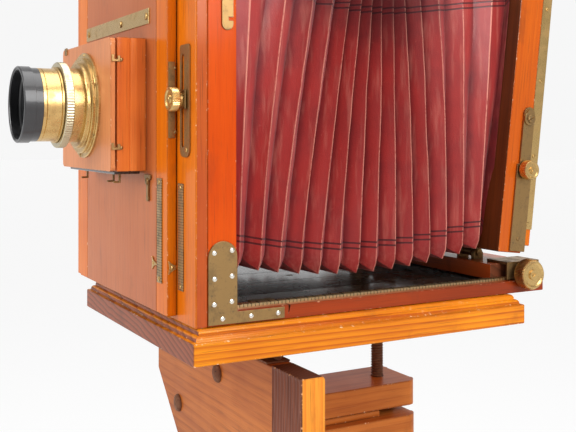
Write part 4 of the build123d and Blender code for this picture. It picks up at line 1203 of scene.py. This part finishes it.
@dataclass
class Body:
    """Camera body: frames, bed, racks, corner brackets and slotted plates."""

    ease: float = 1.2 * MM
    bracket_rise: float = 80 * MM
    bracket_half: float = 15 * MM
    bracket_foot: float = 81 * MM
    bracket_foot_height: float = 11 * MM
    slot_x: float = 168 * MM
    slot_half: float = 3.5 * MM
    plate_half: float = 53.5 * MM
    plate_left: float = 7 * MM
    plate_right: float = 15 * MM
    plate_z: float = 1174.5 * MM
    slot_margin: float = 9 * MM
    stay_foot: float = 1241 * MM
    stay_top: float = 1338 * MM
    stay_half: float = 6 * MM

    def frames(self) -> None:
        """The two frames of the body, in different boards."""
        mould = copy_solids("front_frame")
        mould.bevel(None, self.ease, 3, 0.004)
        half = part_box("front_frame")[1].x
        side = [face for face in mould.bm.faces if abs(face.normal.x) > 0.9
                and abs(face.calc_center_median().x) > half - 1 * MM]
        for face in side:
            face.material_index = 1
        for face in mould.bm.faces:
            if max(abs(face.normal.x), abs(face.normal.y), abs(face.normal.z)) < 0.97:
                for loop in face.loops:
                    loop[mould.wear] = 1.0
        piece = mould.finish("front_frame_made", CASE.cut(Grain.Z, 1), "camera", CASE.slot, ("front_frame",))
        piece.data.materials.append(DUSTY.cut(Grain.Z, 4))
        worked("body_frame", POST.cut(Grain.Z, 7), POST.slot, self.ease)
        worked("bed_rails", RAIL.cut(Grain.Y, 9), RAIL.slot, 0.9 * MM)
        boards = copy_solids("bed_panel")
        low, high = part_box("bed_panel")
        seams = 5
        for index in range(1, seams):
            x = low.x + (high.x - low.x) * index / seams
            for side_x in (x - 0.8 * MM, x, x + 0.8 * MM):
                bmesh.ops.bisect_plane(boards.bm,
                                       geom=boards.bm.verts[:] + boards.bm.edges[:] + boards.bm.faces[:],
                                       plane_co=(side_x, 0, 0), plane_no=(1, 0, 0))
            for vert in boards.bm.verts:
                if abs(vert.co.x - x) < 0.1 * MM and vert.co.z > high.z - 0.1 * MM:
                    vert.co.z -= 1.2 * MM
        boards.finish("bed_panel_made", DARK.brush(), "camera", DARK.slot, ("bed_panel",))
        dress("focus_racks", RACK.cast())

    def brackets(self) -> None:
        """Corner brackets with their round nails."""
        mould = copy_solids("body_brackets")
        mould.bevel(None, 0.35 * MM, 1, 0.002)
        low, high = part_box("body_brackets")
        front = low.y
        upright = ((0.20, 0.865), (0.81, 0.885), (0.21, 0.555), (0.81, 0.575), (0.20, 0.25), (0.80, 0.27))
        places = [(front + 2 * self.bracket_half * a, low.z + self.bracket_rise * b * 0.98)
                  for a, b in upright]
        places += [(front + self.bracket_foot * a, low.z + self.bracket_foot_height * 0.5) for a in
                   (0.18, 0.55, 0.91)]
        nails = Mould()
        for side in (1, -1):
            for y, z in places:
                nails.stamp(FITTINGS.nail, (side * (high.x - 0.1 * MM), y, z), (side, 0, 0))
        nails.finish("body_bracket_nails", NAIL.cast(), "camera", NAIL.slot)
        mould.finish("body_brackets_made", BRASS_MADE, "camera", BRASS.slot, ("body_brackets",))

    def plates(self) -> None:
        """Slotted plates on the posts, the lower scale and the hooked stays above."""
        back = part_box("front_frame")[0].y
        mould = Mould()
        screws = Mould()
        for side in (1, -1):
            round_off, brim = 8 * MM, 3 * MM
            outline = arc((round_off - self.plate_left, round_off - self.plate_half), round_off, 180, 270, 7)
            outline += arc((self.plate_right - round_off, round_off - self.plate_half), round_off, 270, 360,
                           7)
            outline += arc((self.plate_right - brim, self.plate_half - brim), brim, 0, 90, 5)
            outline += arc((brim - self.plate_left, self.plate_half - brim), brim, 90, 180, 5)
            slot = stadium(self.slot_half, -self.plate_half + self.slot_margin,
                           self.plate_half - self.slot_margin)
            if side < 0:
                outline = [(-a, b) for a, b in outline]
            faces = mould.plate(outline, [slot], (side * self.slot_x, back, self.plate_z), RIGHT, UP, 2 * MM)
            mould.bevel(faces, 0.35 * MM, 1, 0.0)
            screws.stamp(FITTINGS.small_screw, (side * (self.slot_x + 9 * MM), back - 1.9 * MM,
                                                self.plate_z - self.plate_half + 7 * MM), AHEAD, 0.4)
        mould.finish("front_slot_plates_made", BRASS_MADE, "camera", BRASS.slot, ("front_slot_plates",))
        screws.finish("front_plate_screws", WARM_MADE, "camera", BRASS.slot)
        scale_strip("frame_scale", 160 * MM, back, 1044 * MM, "camera")
        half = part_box("body_frame")[1].x
        middle = (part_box("body_frame")[0].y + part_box("body_frame")[1].y) / 2 + 5 * MM
        stays = Mould()
        for side in (1, -1):
            notch = [(self.stay_half, 9 * MM), (1 * MM, 9 * MM), (1 * MM, 12.5 * MM),
                     (self.stay_half, 12.5 * MM)]
            outline = arc((0, self.stay_half), self.stay_half, 180, 360, 9) + notch
            length = self.stay_top - self.stay_foot
            outline += arc((0, length - self.stay_half), self.stay_half, 0, 180, 9)
            across = Vector((0, side, 0))
            faces = stays.plate(outline if side > 0 else [(a, b) for a, b in outline], [],
                                (side * half, middle, self.stay_foot), across, UP, 1.6 * MM)
            stays.bevel(faces, 0.3 * MM, 1, 0.0)
            stays.stamp(FITTINGS.large_screw,
                        (side * (half + 1.5 * MM), middle, self.stay_top - self.stay_half),
                        (side, 0, 0), 0.9)
        stays.finish("hooked_stays", BRASS_MADE, "camera", BRASS.slot)

    def build(self) -> None:
        """Build the whole body."""
        self.frames()
        self.brackets()
        self.plates()


def dress(node: str, material: bpy.types.Material) -> None:
    """Give a carried-over node its finish."""
    for slot in frame["nodes"][node].material_slots:
        slot.material = material


def scale_strip(name: str, x: float, back: float, z: float, body: str) -> None:
    """A graduated brass strip let in against a front face, with a screw at each end."""
    half_width, half_height, thick = 6.3 * MM, 51.5 * MM, 1.2 * MM
    mould = Mould()
    faces = mould.block((x - half_width, back - thick, z - half_height),
                        (x + half_width, back, z + half_height))
    mould.bevel(faces, 0.3 * MM, 1)
    mould.finish(name, SCALE_MADE, body, BRASS.slot)
    screws = Mould()
    for end in (-1, 1):
        screws.stamp(FITTINGS.small_screw, (x, back - thick, z + end * (half_height - 4 * MM)), AHEAD,
                     0.8 * end)
    screws.finish(f"{name}_screws", WARM_MADE, body, BRASS.slot)


def star(mould: Mould, place: Vector, across: Vector, size: float) -> None:
    """A three-pointed brass pointer with a rivet, its long point along across."""
    points = []
    for index in range(6):
        length = (1.0 if index == 0 else 0.72) if index % 2 == 0 else 0.27
        angle = math.radians(60 * index)
        points.append((size * length * math.cos(angle), size * length * math.sin(angle)))
    faces = mould.plate(points, [], place, across, UP, 1.3 * MM)
    mould.bevel(faces, 0.25 * MM, 1)
    facing = Vector(across).cross(UP)
    mould.stamp(FITTINGS.stud, Vector(place) + facing * 1.2 * MM, facing)


@dataclass
class Front:
    """Rising front: outer and inner panels, lens box, hooks, latch and thumb nuts."""

    nut_x: float = 168 * MM
    nut_z: float = 1176 * MM
    nut_radius: float = 11.5 * MM
    pointer_z: float = 1013.5 * MM
    scale_x: float = 129.3 * MM
    scale_z: float = 1048 * MM
    inner_star_x: float = 113 * MM
    lug_scale_top: float = 1110 * MM
    strip_low: tuple = (-118 * MM, 1255 * MM)
    strip_high: tuple = (100 * MM, 1271 * MM)

    def panels(self) -> None:
        """The two panels that slide up, with their scale, pointers, lugs and thumb nuts."""
        worked("outer_rising_panel", CASE.cut(Grain.Z, 12), CASE.slot, 0.9 * MM)
        worked("inner_rising_panel", PANEL.cut(Grain.Z, 14), PANEL.slot, 0.7 * MM)
        low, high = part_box("outer_rising_panel")
        scale_strip("panel_scale", self.scale_x, low.y, self.scale_z, "outer_front")
        outer = Mould()
        star(outer, (high.x, (low.y + high.y) / 2, self.pointer_z), Vector((0, 1, 0)), 11 * MM)
        outer.finish("outer_pointer", WARM_MADE, "outer_front", BRASS.slot)
        inner = Mould()
        star(inner, (self.inner_star_x, low.y, self.pointer_z + 0.5 * MM), RIGHT, 11 * MM)
        inner.finish("inner_pointer", WARM_MADE, "lens_panel", BRASS.slot)
        lugs = copy_solids("front_lugs")
        lugs_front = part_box("front_lugs")[0].y
        lugs.bevel(None, 0.3 * MM, 1, 0.002)
        scale_verts = [vert for vert in lugs.bm.verts if vert.co.z < self.lug_scale_top]
        bmesh.ops.delete(lugs.bm, geom=scale_verts, context="VERTS")
        for side in (1, -1):
            for z in (self.nut_z + 31 * MM, self.nut_z - 31 * MM):
                lugs.stamp(FITTINGS.stud, (side * (high.x + 1.5 * MM), lugs_front + 9 * MM, z), (side, 0, 0))
        lugs.finish("front_lugs_made", BRASS_MADE, "outer_front", BRASS.slot, ("front_lugs",))
        nut_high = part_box("thumb_nut_right")[1]
        for side, name in ((1, "right"), (-1, "left")):
            nut = Mould()
            milled_knob(nut, (side * self.nut_x, nut_high.y, self.nut_z), AHEAD, self.nut_radius,
                        8 * MM, 44, 4 * MM)
            nut.finish(f"thumb_nut_{name}_made", WARM_MADE, f"thumb_nut_{name}", BRASS.slot,
                       (f"thumb_nut_{name}",))

    def box(self) -> None:
        """The lens box with its groove, board, strips and hooks."""
        low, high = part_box("lens_box")
        mould = copy_solids("lens_box")
        groove = low.y + (high.y - low.y) * 0.45
        for y in (groove - 1.1 * MM, groove, groove + 1.1 * MM):
            bmesh.ops.bisect_plane(mould.bm, geom=mould.bm.verts[:] + mould.bm.edges[:] + mould.bm.faces[:],
                                   plane_co=(0, y, 0), plane_no=(0, 1, 0))
        for vert in mould.bm.verts:
            if abs(vert.co.y - groove) < 0.05 * MM:
                if abs(vert.co.x) > high.x - 0.1 * MM:
                    vert.co.x -= math.copysign(1.1 * MM, vert.co.x)
                if not low.z + 0.1 * MM < vert.co.z < high.z - 0.1 * MM:
                    vert.co.z += 1.1 * MM if vert.co.z < 1.15 else -1.1 * MM
        ends = [edge for edge in mould.bm.edges if edge.calc_length() > 8 * MM
                and edge.calc_face_angle(0) > 1.2]
        made = bmesh.ops.bevel(mould.bm, geom=ends, offset=0.9 * MM, offset_type="OFFSET", segments=2,
                               profile=0.5, affect="EDGES", clamp_overlap=False, material=-1)
        for face in made["faces"]:
            for loop in face.loops:
                loop[mould.wear] = 1.0
        mould.finish("lens_box_made", BOX.cut(Grain.Z, 16), "lens_panel", BOX.slot, ("lens_box",))
        worked("lens_board", TAN.cut(Grain.Z, 18), TAN.slot, 0.8 * MM, 0.0015)
        board_low, board_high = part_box("lens_board")
        brass = Mould()
        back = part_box("inner_rising_panel")[0].y
        faces = brass.block((self.strip_low[0], back - 1.2 * MM, self.strip_low[1]),
                            (self.strip_high[0], back, self.strip_high[1]))
        brass.bevel(faces, 0.4 * MM, 2)
        middle = (self.strip_low[1] + self.strip_high[1]) / 2
        for x in (self.strip_low[0] + 9 * MM, 12 * MM, self.strip_high[0] - 8 * MM):
            brass.stamp(FITTINGS.screw, (x, back - 1.1 * MM, middle), AHEAD, 1.0 + x * 20)
        brass.finish("panel_strip", WARM_MADE, "lens_panel", BRASS.slot)
        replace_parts(self.hooks(board_low, board_high, low, high), "lens_box_fittings")

    def hooks(self, board_low: Vector, board_high: Vector, low: Vector, high: Vector) -> bpy.types.Object:
        """Small brass hooks round the lens board, its pins and the strip under the box."""
        brass = Mould()
        for z in (low.z + 25 * MM, high.z - 22 * MM):
            for side in (1, -1):
                outline = [(0, -3 * MM), (9 * MM, -3 * MM), (9 * MM, 3 * MM), (6 * MM, 3 * MM),
                           (6 * MM, -0.5 * MM),
                           (2.5 * MM, -0.5 * MM), (2.5 * MM, 4 * MM), (0, 4 * MM)]
                faces = brass.plate(outline, [], (side * high.x, board_low.y + 1 * MM, z),
                                    Vector((0, 1, 0)), UP, side * 1.4 * MM)
                brass.bevel(faces, 0.25 * MM, 1)
                brass.stamp(FITTINGS.stud, (side * (high.x + 1.3 * MM), board_high.y + 6 * MM, z - 1 * MM),
                            (side, 0, 0))
                brass.rod((side * (high.x - 6 * MM), board_high.y - 0.2 * MM, z),
                          (side * (high.x - 6 * MM), low.y + 0.2 * MM, z), 2 * MM)
        for x in (-57 * MM, 39 * MM, 59 * MM):
            faces = brass.block((x - 1.2 * MM, low.y + 12 * MM, low.z - 13 * MM),
                                (x + 1.2 * MM, low.y + 14 * MM, low.z - 2 * MM))
            faces += brass.block((x - 1.2 * MM, low.y + 6 * MM, low.z - 13 * MM),
                                 (x + 1.2 * MM, low.y + 12.2 * MM, low.z - 11 * MM))
            brass.bevel(faces, 0.3 * MM, 1)
        clip = brass.block((-79 * MM, board_low.y - 1.2 * MM, board_high.z - 7 * MM),
                           (-70 * MM, board_low.y + 0.2 * MM, board_high.z + 1.2 * MM))
        brass.bevel(clip, 0.4 * MM, 2)
        made = brass.finish("lens_board_hooks", BRASS_MADE, "lens_panel", BRASS.slot)
        strip = Mould()
        faces = strip.block((low.x + 8 * MM, low.y, low.z - 3 * MM),
                            (high.x - 8 * MM, high.y - 4 * MM, low.z))
        strip.bevel(faces, 0.5 * MM, 1)
        strip.finish("lens_box_foot_strip", DARK_MADE, "lens_panel", DARK.slot)
        return made

    def latch(self) -> None:
        """The turn button under the box: a T of brass on a screw."""
        low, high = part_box("box_turn_latch")
        x, z = (low.x + high.x) / 2, high.z - 7 * MM
        outline = [(-8 * MM, 7 * MM), (-8 * MM, 2.5 * MM), (-2.6 * MM, 1 * MM), (-2.2 * MM, -16 * MM)]
        outline += arc((0, -17 * MM), 3.4 * MM, 150, 390, 9)
        outline += [(2.2 * MM, -16 * MM), (2.6 * MM, 1 * MM), (8 * MM, 2.5 * MM), (8 * MM, 7 * MM)]
        mould = Mould()
        faces = mould.plate(outline[::-1], [], (x, high.y, z), RIGHT, UP, 1.9 * MM)
        mould.bevel(faces, 0.3 * MM, 1)
        mould.stamp(FITTINGS.screw, (x, high.y - 1.8 * MM, z), AHEAD, 0.6)
        mould.finish("box_turn_latch_made", BRASS_MADE, "box_turn_latch", BRASS.slot, ("box_turn_latch",))

    def build(self) -> None:
        """Build the whole rising front."""
        self.panels()
        self.box()
        self.latch()


@dataclass
class Lens:
    """The lens: stepped flange, lacquered barrel, knurled ring, black hood and glasses."""

    flange_radius: float = 57 * MM
    rear_radius: float = 40 * MM
    barrel_radius: float = 39 * MM
    bore: float = 36 * MM
    ring_radius: float = 46 * MM
    ring_thick: float = 8.7 * MM
    hood_radius: float = 40.5 * MM
    hood_length: float = 20 * MM
    thread_pitch: float = 0.9 * MM

    def build(self) -> None:
        """Turn every part of the lens round its axis."""
        axis_z = (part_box("lens_flange")[0].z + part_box("lens_flange")[1].z) / 2
        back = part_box("lens_flange")[1].y
        flange_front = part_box("lens_flange")[0].y
        hood_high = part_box("lens_hood")[1]
        ring_low, ring_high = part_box("iris_ring")
        start = Vector((0, back, axis_z))
        radius = self.flange_radius
        flange = Mould()
        outline = [(0, self.bore), (0, radius), (2.1, radius), (3, radius - 0.9 * MM), (3, 52.6), (3.5, 52),
                   (5.4, 52), (5.8, 51.4), (6.2, 51.8), (7, 51), (7, 46.8), (7.6, 46.2), (10.2, 46.0),
                   (11, 45), (11, 43)]
        shape = [(a * MM, b * MM if b > 1 else b) for a, b in outline] + [(11 * MM, self.bore)]
        flange.turned(shape, start, AHEAD, 96)
        for index in range(6):
            angle = math.radians(60 * index + 22)
            spot = start + AHEAD * 2.9 * MM + Vector((math.cos(angle), 0, math.sin(angle))) * 54.6 * MM
            flange.stamp(FITTINGS.stud if index % 2 else FITTINGS.small_screw, spot, AHEAD, index)
        flange.finish("lens_flange_made", WARM_MADE, "lens_panel", WARM.slot, ("lens_flange",))
        barrel = Mould()
        total = flange_front - hood_high.y
        ring_at = flange_front - ring_high.y
        first = [(0, self.bore), (0, self.rear_radius), (ring_at - 3.5 * MM, self.rear_radius),
                 (ring_at - 3 * MM, self.rear_radius + 1.5 * MM),
                 (ring_at - 0.5 * MM, self.rear_radius + 1.5 * MM),
                 (ring_at - 0.3 * MM, self.barrel_radius - 0.2 * MM)]
        past = flange_front - ring_low.y
        second = [(past + 0.3 * MM, self.barrel_radius - 0.2 * MM),
                  (past + 0.8 * MM, self.barrel_radius + 1.8 * MM),
                  (past + 2.4 * MM, self.barrel_radius + 1.8 * MM), (past + 3 * MM, self.barrel_radius),
                  (total - 4 * MM, self.barrel_radius), (total - 3.6 * MM, self.barrel_radius - 0.5 * MM),
                  (total - 3.0 * MM, self.barrel_radius), (total, self.barrel_radius), (total, self.bore)]
        barrel.turned(first + second, Vector((0, flange_front, axis_z)), AHEAD, 96)
        barrel.finish("lens_barrel_made", WARM_MADE, "lens_panel", WARM.slot, ("lens_barrel",))
        ring = Mould()
        size = self.ring_radius
        grip = [(0, self.barrel_radius + 0.1 * MM), (0, size - 1.2 * MM), (0.8 * MM, size),
                (self.ring_thick - 0.8 * MM, size),
                (self.ring_thick, size - 1.2 * MM), (self.ring_thick, self.barrel_radius + 0.1 * MM)]
        made = ring.turned(grip, Vector((0, ring_high.y, axis_z)), AHEAD, 384)
        ring.flute(made, Vector((0, ring_high.y, axis_z)), AHEAD, 96, 0.9 * MM, size - 0.6 * MM)
        ring.finish("iris_ring_made", GREEN_MADE, "iris_ring", GREEN.slot, ("iris_ring",))
        hood = Mould()
        length, wide = self.hood_length, self.hood_radius
        outline = [(0, self.bore), (0, wide - 1.6 * MM), (0.6 * MM, wide - 1.4 * MM),
                   (7.5 * MM, wide - 1.4 * MM),
                   (8 * MM, wide), (length - 1 * MM, wide), (length, wide - 1 * MM),
                   (length, wide - 2.6 * MM)]
        threads = int((length * 0.55) / self.thread_pitch)
        for index in range(threads):
            foot = length - 0.8 * MM - index * self.thread_pitch
            outline += [(foot, wide - 2.8 * MM), (foot - self.thread_pitch / 2, wide - 3.5 * MM)]
        outline += [(length * 0.35, self.bore), (0, self.bore)]
        hood.turned(outline, Vector((0, hood_high.y, axis_z)), AHEAD, 72)
        hood.finish("lens_hood_made", BLACK_MADE, "lens_panel", BLACK.slot, ("lens_hood",))
        tube = Mould()
        tube.turned([(-total + 1 * MM, self.bore - 0.3 * MM), (1 * MM, self.bore - 0.3 * MM),
                     (1 * MM, self.bore - 3 * MM), (0, self.bore - 3.5 * MM),
                     (-total + 1 * MM, self.bore - 3.5 * MM),
                     (-total + 1 * MM, self.bore - 0.3 * MM)], Vector((0, hood_high.y, axis_z)), AHEAD, 48)
        tube.finish("lens_inner_tube", BLACK_MADE, "lens_panel", BLACK.slot)
        glass = Mould()
        curve = [(7 * MM * (1 - (r / 6) ** 2), self.bore * 0.985 * r / 6) for r in range(7)]
        glass.turned(curve[::-1], Vector((0, hood_high.y + 1 * MM, axis_z)), AHEAD, 48)
        rear = [(-9 * MM - 3 * MM * (1 - (r / 6) ** 2), self.bore * 0.9 * r / 6) for r in range(7)]
        glass.turned(rear, Vector((0, hood_high.y + 1 * MM, axis_z)), AHEAD, 48)
        glass.finish("lens_glasses_made", LENS.grind(), "lens_panel", LENS.slot, ("lens_glasses",))


@dataclass
class Back:
    """Carriage, focusing knobs, tilting frame, struts and focusing screen."""

    ease: float = 1.2 * MM
    lean: float = BACK_LEAN
    tilt_axis_y: float = 278.4 * MM

    def build(self) -> None:
        """Build the whole back."""
        worked("carriage_bar", DUSTY.cut(Grain.X, 20), DARK.slot, 0.8 * MM)
        worked("carriage_brasses", BRASS_MADE, BRASS.slot, 0.3 * MM, 0.002, 1)
        frame_piece = worked("back_frame", REAR.cut((0.0, math.sin(self.lean), math.cos(self.lean)), 22),
                             REAR.slot,
                             self.ease)
        # Painted shade: faces of the back frame that face the front get the much darker copy of its wood.
        frame_piece.data.materials.append(REAR_SHADE.cut((0.0, math.sin(self.lean), math.cos(self.lean)), 23))
        for polygon in frame_piece.data.polygons:
            if polygon.normal.y < -0.85:
                polygon.material_index = 1
        worked("screen_frame", CASE.cut((0.0, math.sin(self.lean), math.cos(self.lean)), 24), CASE.slot,
               1.0 * MM)
        worked("screen_hinge_cups", BRASS_MADE, BRASS.slot, 0.2 * MM, 0.002, 1)
        dress("ground_glass", SCREEN.grind())
        self.struts()
        self.strips()
        self.knobs()

    def spot(self, x: float, y: float, z: float) -> Vector:
        """A place drawn upright about the tilt axis, leaned with the back."""
        axis = Vector((0, self.tilt_axis_y, TILT_AXIS_Z))
        away = Vector((0, y, z))
        return axis + Vector((x, 0, 0)) + Matrix.Rotation(-self.lean, 3, "X") @ away

    def struts(self) -> None:
        """The brass arms, with a slotted stud at the top."""
        mould = copy_solids("back_brasses")
        mould.bevel(None, 0.35 * MM, 1, 0.002)
        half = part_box("back_brasses")[1].x
        for side in (1, -1):
            boss = [(0, 0), (0, 8.0 * MM), (1.6 * MM, 8.0 * MM), (2.4 * MM, 7.2 * MM), (2.4 * MM, 0)]
            mould.turned(boss, self.spot(side * (half - 2.6 * MM), 2 * MM, 160 * MM), Vector((side, 0, 0)),
                         36)
            mould.stamp(FITTINGS.large_screw, self.spot(side * (half - 0.3 * MM), 2 * MM, 160 * MM),
                        (side, 0, 0), 0.5)
            mould.stamp(FITTINGS.small_screw, self.spot(side * (half - 2.6 * MM), 2 * MM, 22 * MM),
                        (side, 0, 0), 1.1)
        mould.finish("back_brasses_made", BRASS_MADE, "back", BRASS.slot, ("back_brasses",))

    def strips(self) -> None:
        """Brass strips along the screen frame's sides, with screws."""
        mould = copy_solids("screen_brasses")
        mould.bevel(None, 0.3 * MM, 1, 0.002)
        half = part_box("screen_brasses")[1].x
        for side in (1, -1):
            for index, rise in enumerate((40, 118, 206, 290, 340)):
                mould.stamp(FITTINGS.small_screw, self.spot(side * (half - 0.1 * MM), 17.2 * MM, rise * MM),
                            (side, 0, 0), index * 1.3)
        mould.finish("screen_brasses_made", WARM_MADE, "screen", BRASS.slot, ("screen_brasses",))

    def knobs(self) -> None:
        """Milled lock knobs and focusing knobs."""
        for side, name in ((1, "right"), (-1, "left")):
            low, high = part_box(f"lock_knob_{name}")
            centre_y, centre_z = (low.y + high.y) / 2, (low.z + high.z) / 2
            inner = 198.3 * MM
            knob = Mould()
            milled_knob(knob, (side * inner, centre_y, centre_z), (side, 0, 0), 11 * MM, 10 * MM, 36, 2 * MM)
            knob.finish(f"lock_knob_{name}_made", WARM_MADE, f"lock_knob_{name}", BRASS.slot,
                        (f"lock_knob_{name}",))
        low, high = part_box("focus_pinion")
        centre_y, centre_z = (low.y + high.y) / 2, (low.z + high.z) / 2
        dress("focus_pinion", WARM_MADE)
        sleeves = Mould()
        for side in (1, -1):
            milled_knob(sleeves, (side * 198.3 * MM, centre_y, centre_z), (side, 0, 0), 16.7 * MM,
                        14.6 * MM, 60)
        sleeves.finish("focus_knobs", WARM_MADE, "focus_pinion", BRASS.slot)


@dataclass
class Studio:
    """Floor, soft lights and camera."""

    floor_radius: float = 40.0
    floor_tone: Colour = field(default_factory=lambda: tone(0.23, 0.23, 0.23))
    view: tuple = (-0.8756, 0.483, 0.0)
    room: float = 0.46
    glow: float = 0.78
    paper_light: float = 0.93
    fade_from: float = 0.50
    fade_to: float = 0.88
    focal_mm: float = 56.4
    sensor_mm: float = 36.0
    frame_shift: float = -0.1434
    eye: tuple = (0.9685, -0.4405, 1.1436)
    eye_turn: float = math.radians(61.12)

    def floor(self) -> None:
        """A wide pale floor."""
        mould = Mould()
        bmesh.ops.create_circle(mould.bm, cap_ends=True, segments=64, radius=self.floor_radius)
        bmesh.ops.translate(mould.bm, verts=mould.bm.verts, vec=(0, 0, -0.0005))
        shader = Shader("studio_paper")
        grain = shader.clouds(shader.place(), 3.0)
        material = shader.dress(Base_Color=shader.blend(grain * 0.3, self.floor_tone, tone(0.20, 0.20, 0.20)),
                                Roughness=0.9, Emission_Color=tone(1.0, 1.0, 1.0),
                                Emission_Strength=self.glow)
        mesh = bpy.data.meshes.new("floor")
        mould.bm.to_mesh(mesh)
        mould.bm.free()
        piece = bpy.data.objects.new("floor", mesh)
        bpy.context.scene.collection.objects.link(piece)
        mesh.materials.append(material)

    @staticmethod
    def lamp(name: str, place: tuple, target: tuple, size: tuple, power: float,
             colour: tuple = (1, 1, 1)) -> None:
        """One soft rectangular light."""
        data = bpy.data.lights.new(name, "AREA")
        data.shape = "RECTANGLE"
        data.size, data.size_y = size
        data.energy = power
        data.color = colour
        lamp = bpy.data.objects.new(name, data)
        bpy.context.scene.collection.objects.link(lamp)
        lamp.location = place
        lamp.rotation_euler = (Vector(target) - Vector(place)).to_track_quat("-Z", "Y").to_euler()

    def lights(self) -> None:
        """A big key on the camera's side, a fill before the lens, a top and an even surround."""
        world = bpy.data.worlds.new("surround")
        world.use_nodes = True
        tree = world.node_tree
        back = next(node for node in tree.nodes if node.type == "BACKGROUND")
        way = tree.nodes.new("ShaderNodeTexCoord")
        ahead = tree.nodes.new("ShaderNodeVectorMath")
        ahead.operation = "DOT_PRODUCT"
        ahead.inputs[1].default_value = self.view
        tree.links.new(way.outputs["Generated"], ahead.inputs[0])
        fade = tree.nodes.new("ShaderNodeMapRange")
        fade.interpolation_type = "SMOOTHSTEP"
        for index, value in enumerate((self.fade_from, self.fade_to, self.room, self.paper_light)):
            fade.inputs[index + 1].default_value = value
        tree.links.new(ahead.outputs["Value"], fade.inputs[0])
        tree.links.new(fade.outputs[0], back.inputs["Strength"])
        back.inputs["Color"].default_value = tone(1.0, 1.0, 1.0)
        bpy.context.scene.world = world
        self.lamp("key", (2.3, 0.3, 2.2), (0, 0, 1.1), (1.5, 1.5), 56.0)
        self.lamp("front_fill", (-0.7, -2.5, 2.0), (0, -0.1, 1.15), (1.0, 1.4), 44.0)
        self.lamp("top", (0.2, 0.2, 3.2), (0, 0, 1.0), (1.8, 1.8), 34.0)

    def camera(self) -> None:
        """The camera, level, near the front right."""
        data = bpy.data.cameras.new("camera")
        data.lens = self.focal_mm
        data.sensor_width = self.sensor_mm
        data.shift_y = self.frame_shift
        data.clip_start, data.clip_end = 0.01, 200.0
        camera = bpy.data.objects.new("camera", data)
        bpy.context.scene.collection.objects.link(camera)
        camera.location = self.eye
        camera.rotation_euler = (math.radians(90), 0.0, self.eye_turn)
        bpy.context.scene.camera = camera

    def build(self) -> None:
        """Set the whole studio."""
        bpy.context.scene.view_settings.view_transform = "Standard"
        self.camera()
        self.floor()
        self.lights()


BRASS_MADE = BRASS.cast()
WARM_MADE = WARM.cast()
GREEN_MADE = GREEN.cast()
SCALE_MADE = SCALE.cast()
IRON_MADE = IRON.cast()
BLACK_MADE = BLACK.brush()
DARK_MADE = DARK.brush()
LEATHER_MADE = Leather().tan()


def write_sizes() -> None:
    """Update the view layer."""
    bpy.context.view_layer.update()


def main() -> None:
    """Build every sub-assembly in order."""
    logging.basicConfig(level=logging.INFO, format="%(message)s")
    for part in (Studio(), Stand(), Table(), Body(), Front(), Lens(), Bellows(), Back()):
        part.build()
    write_sizes()


if __name__ == "__main__":
    main()
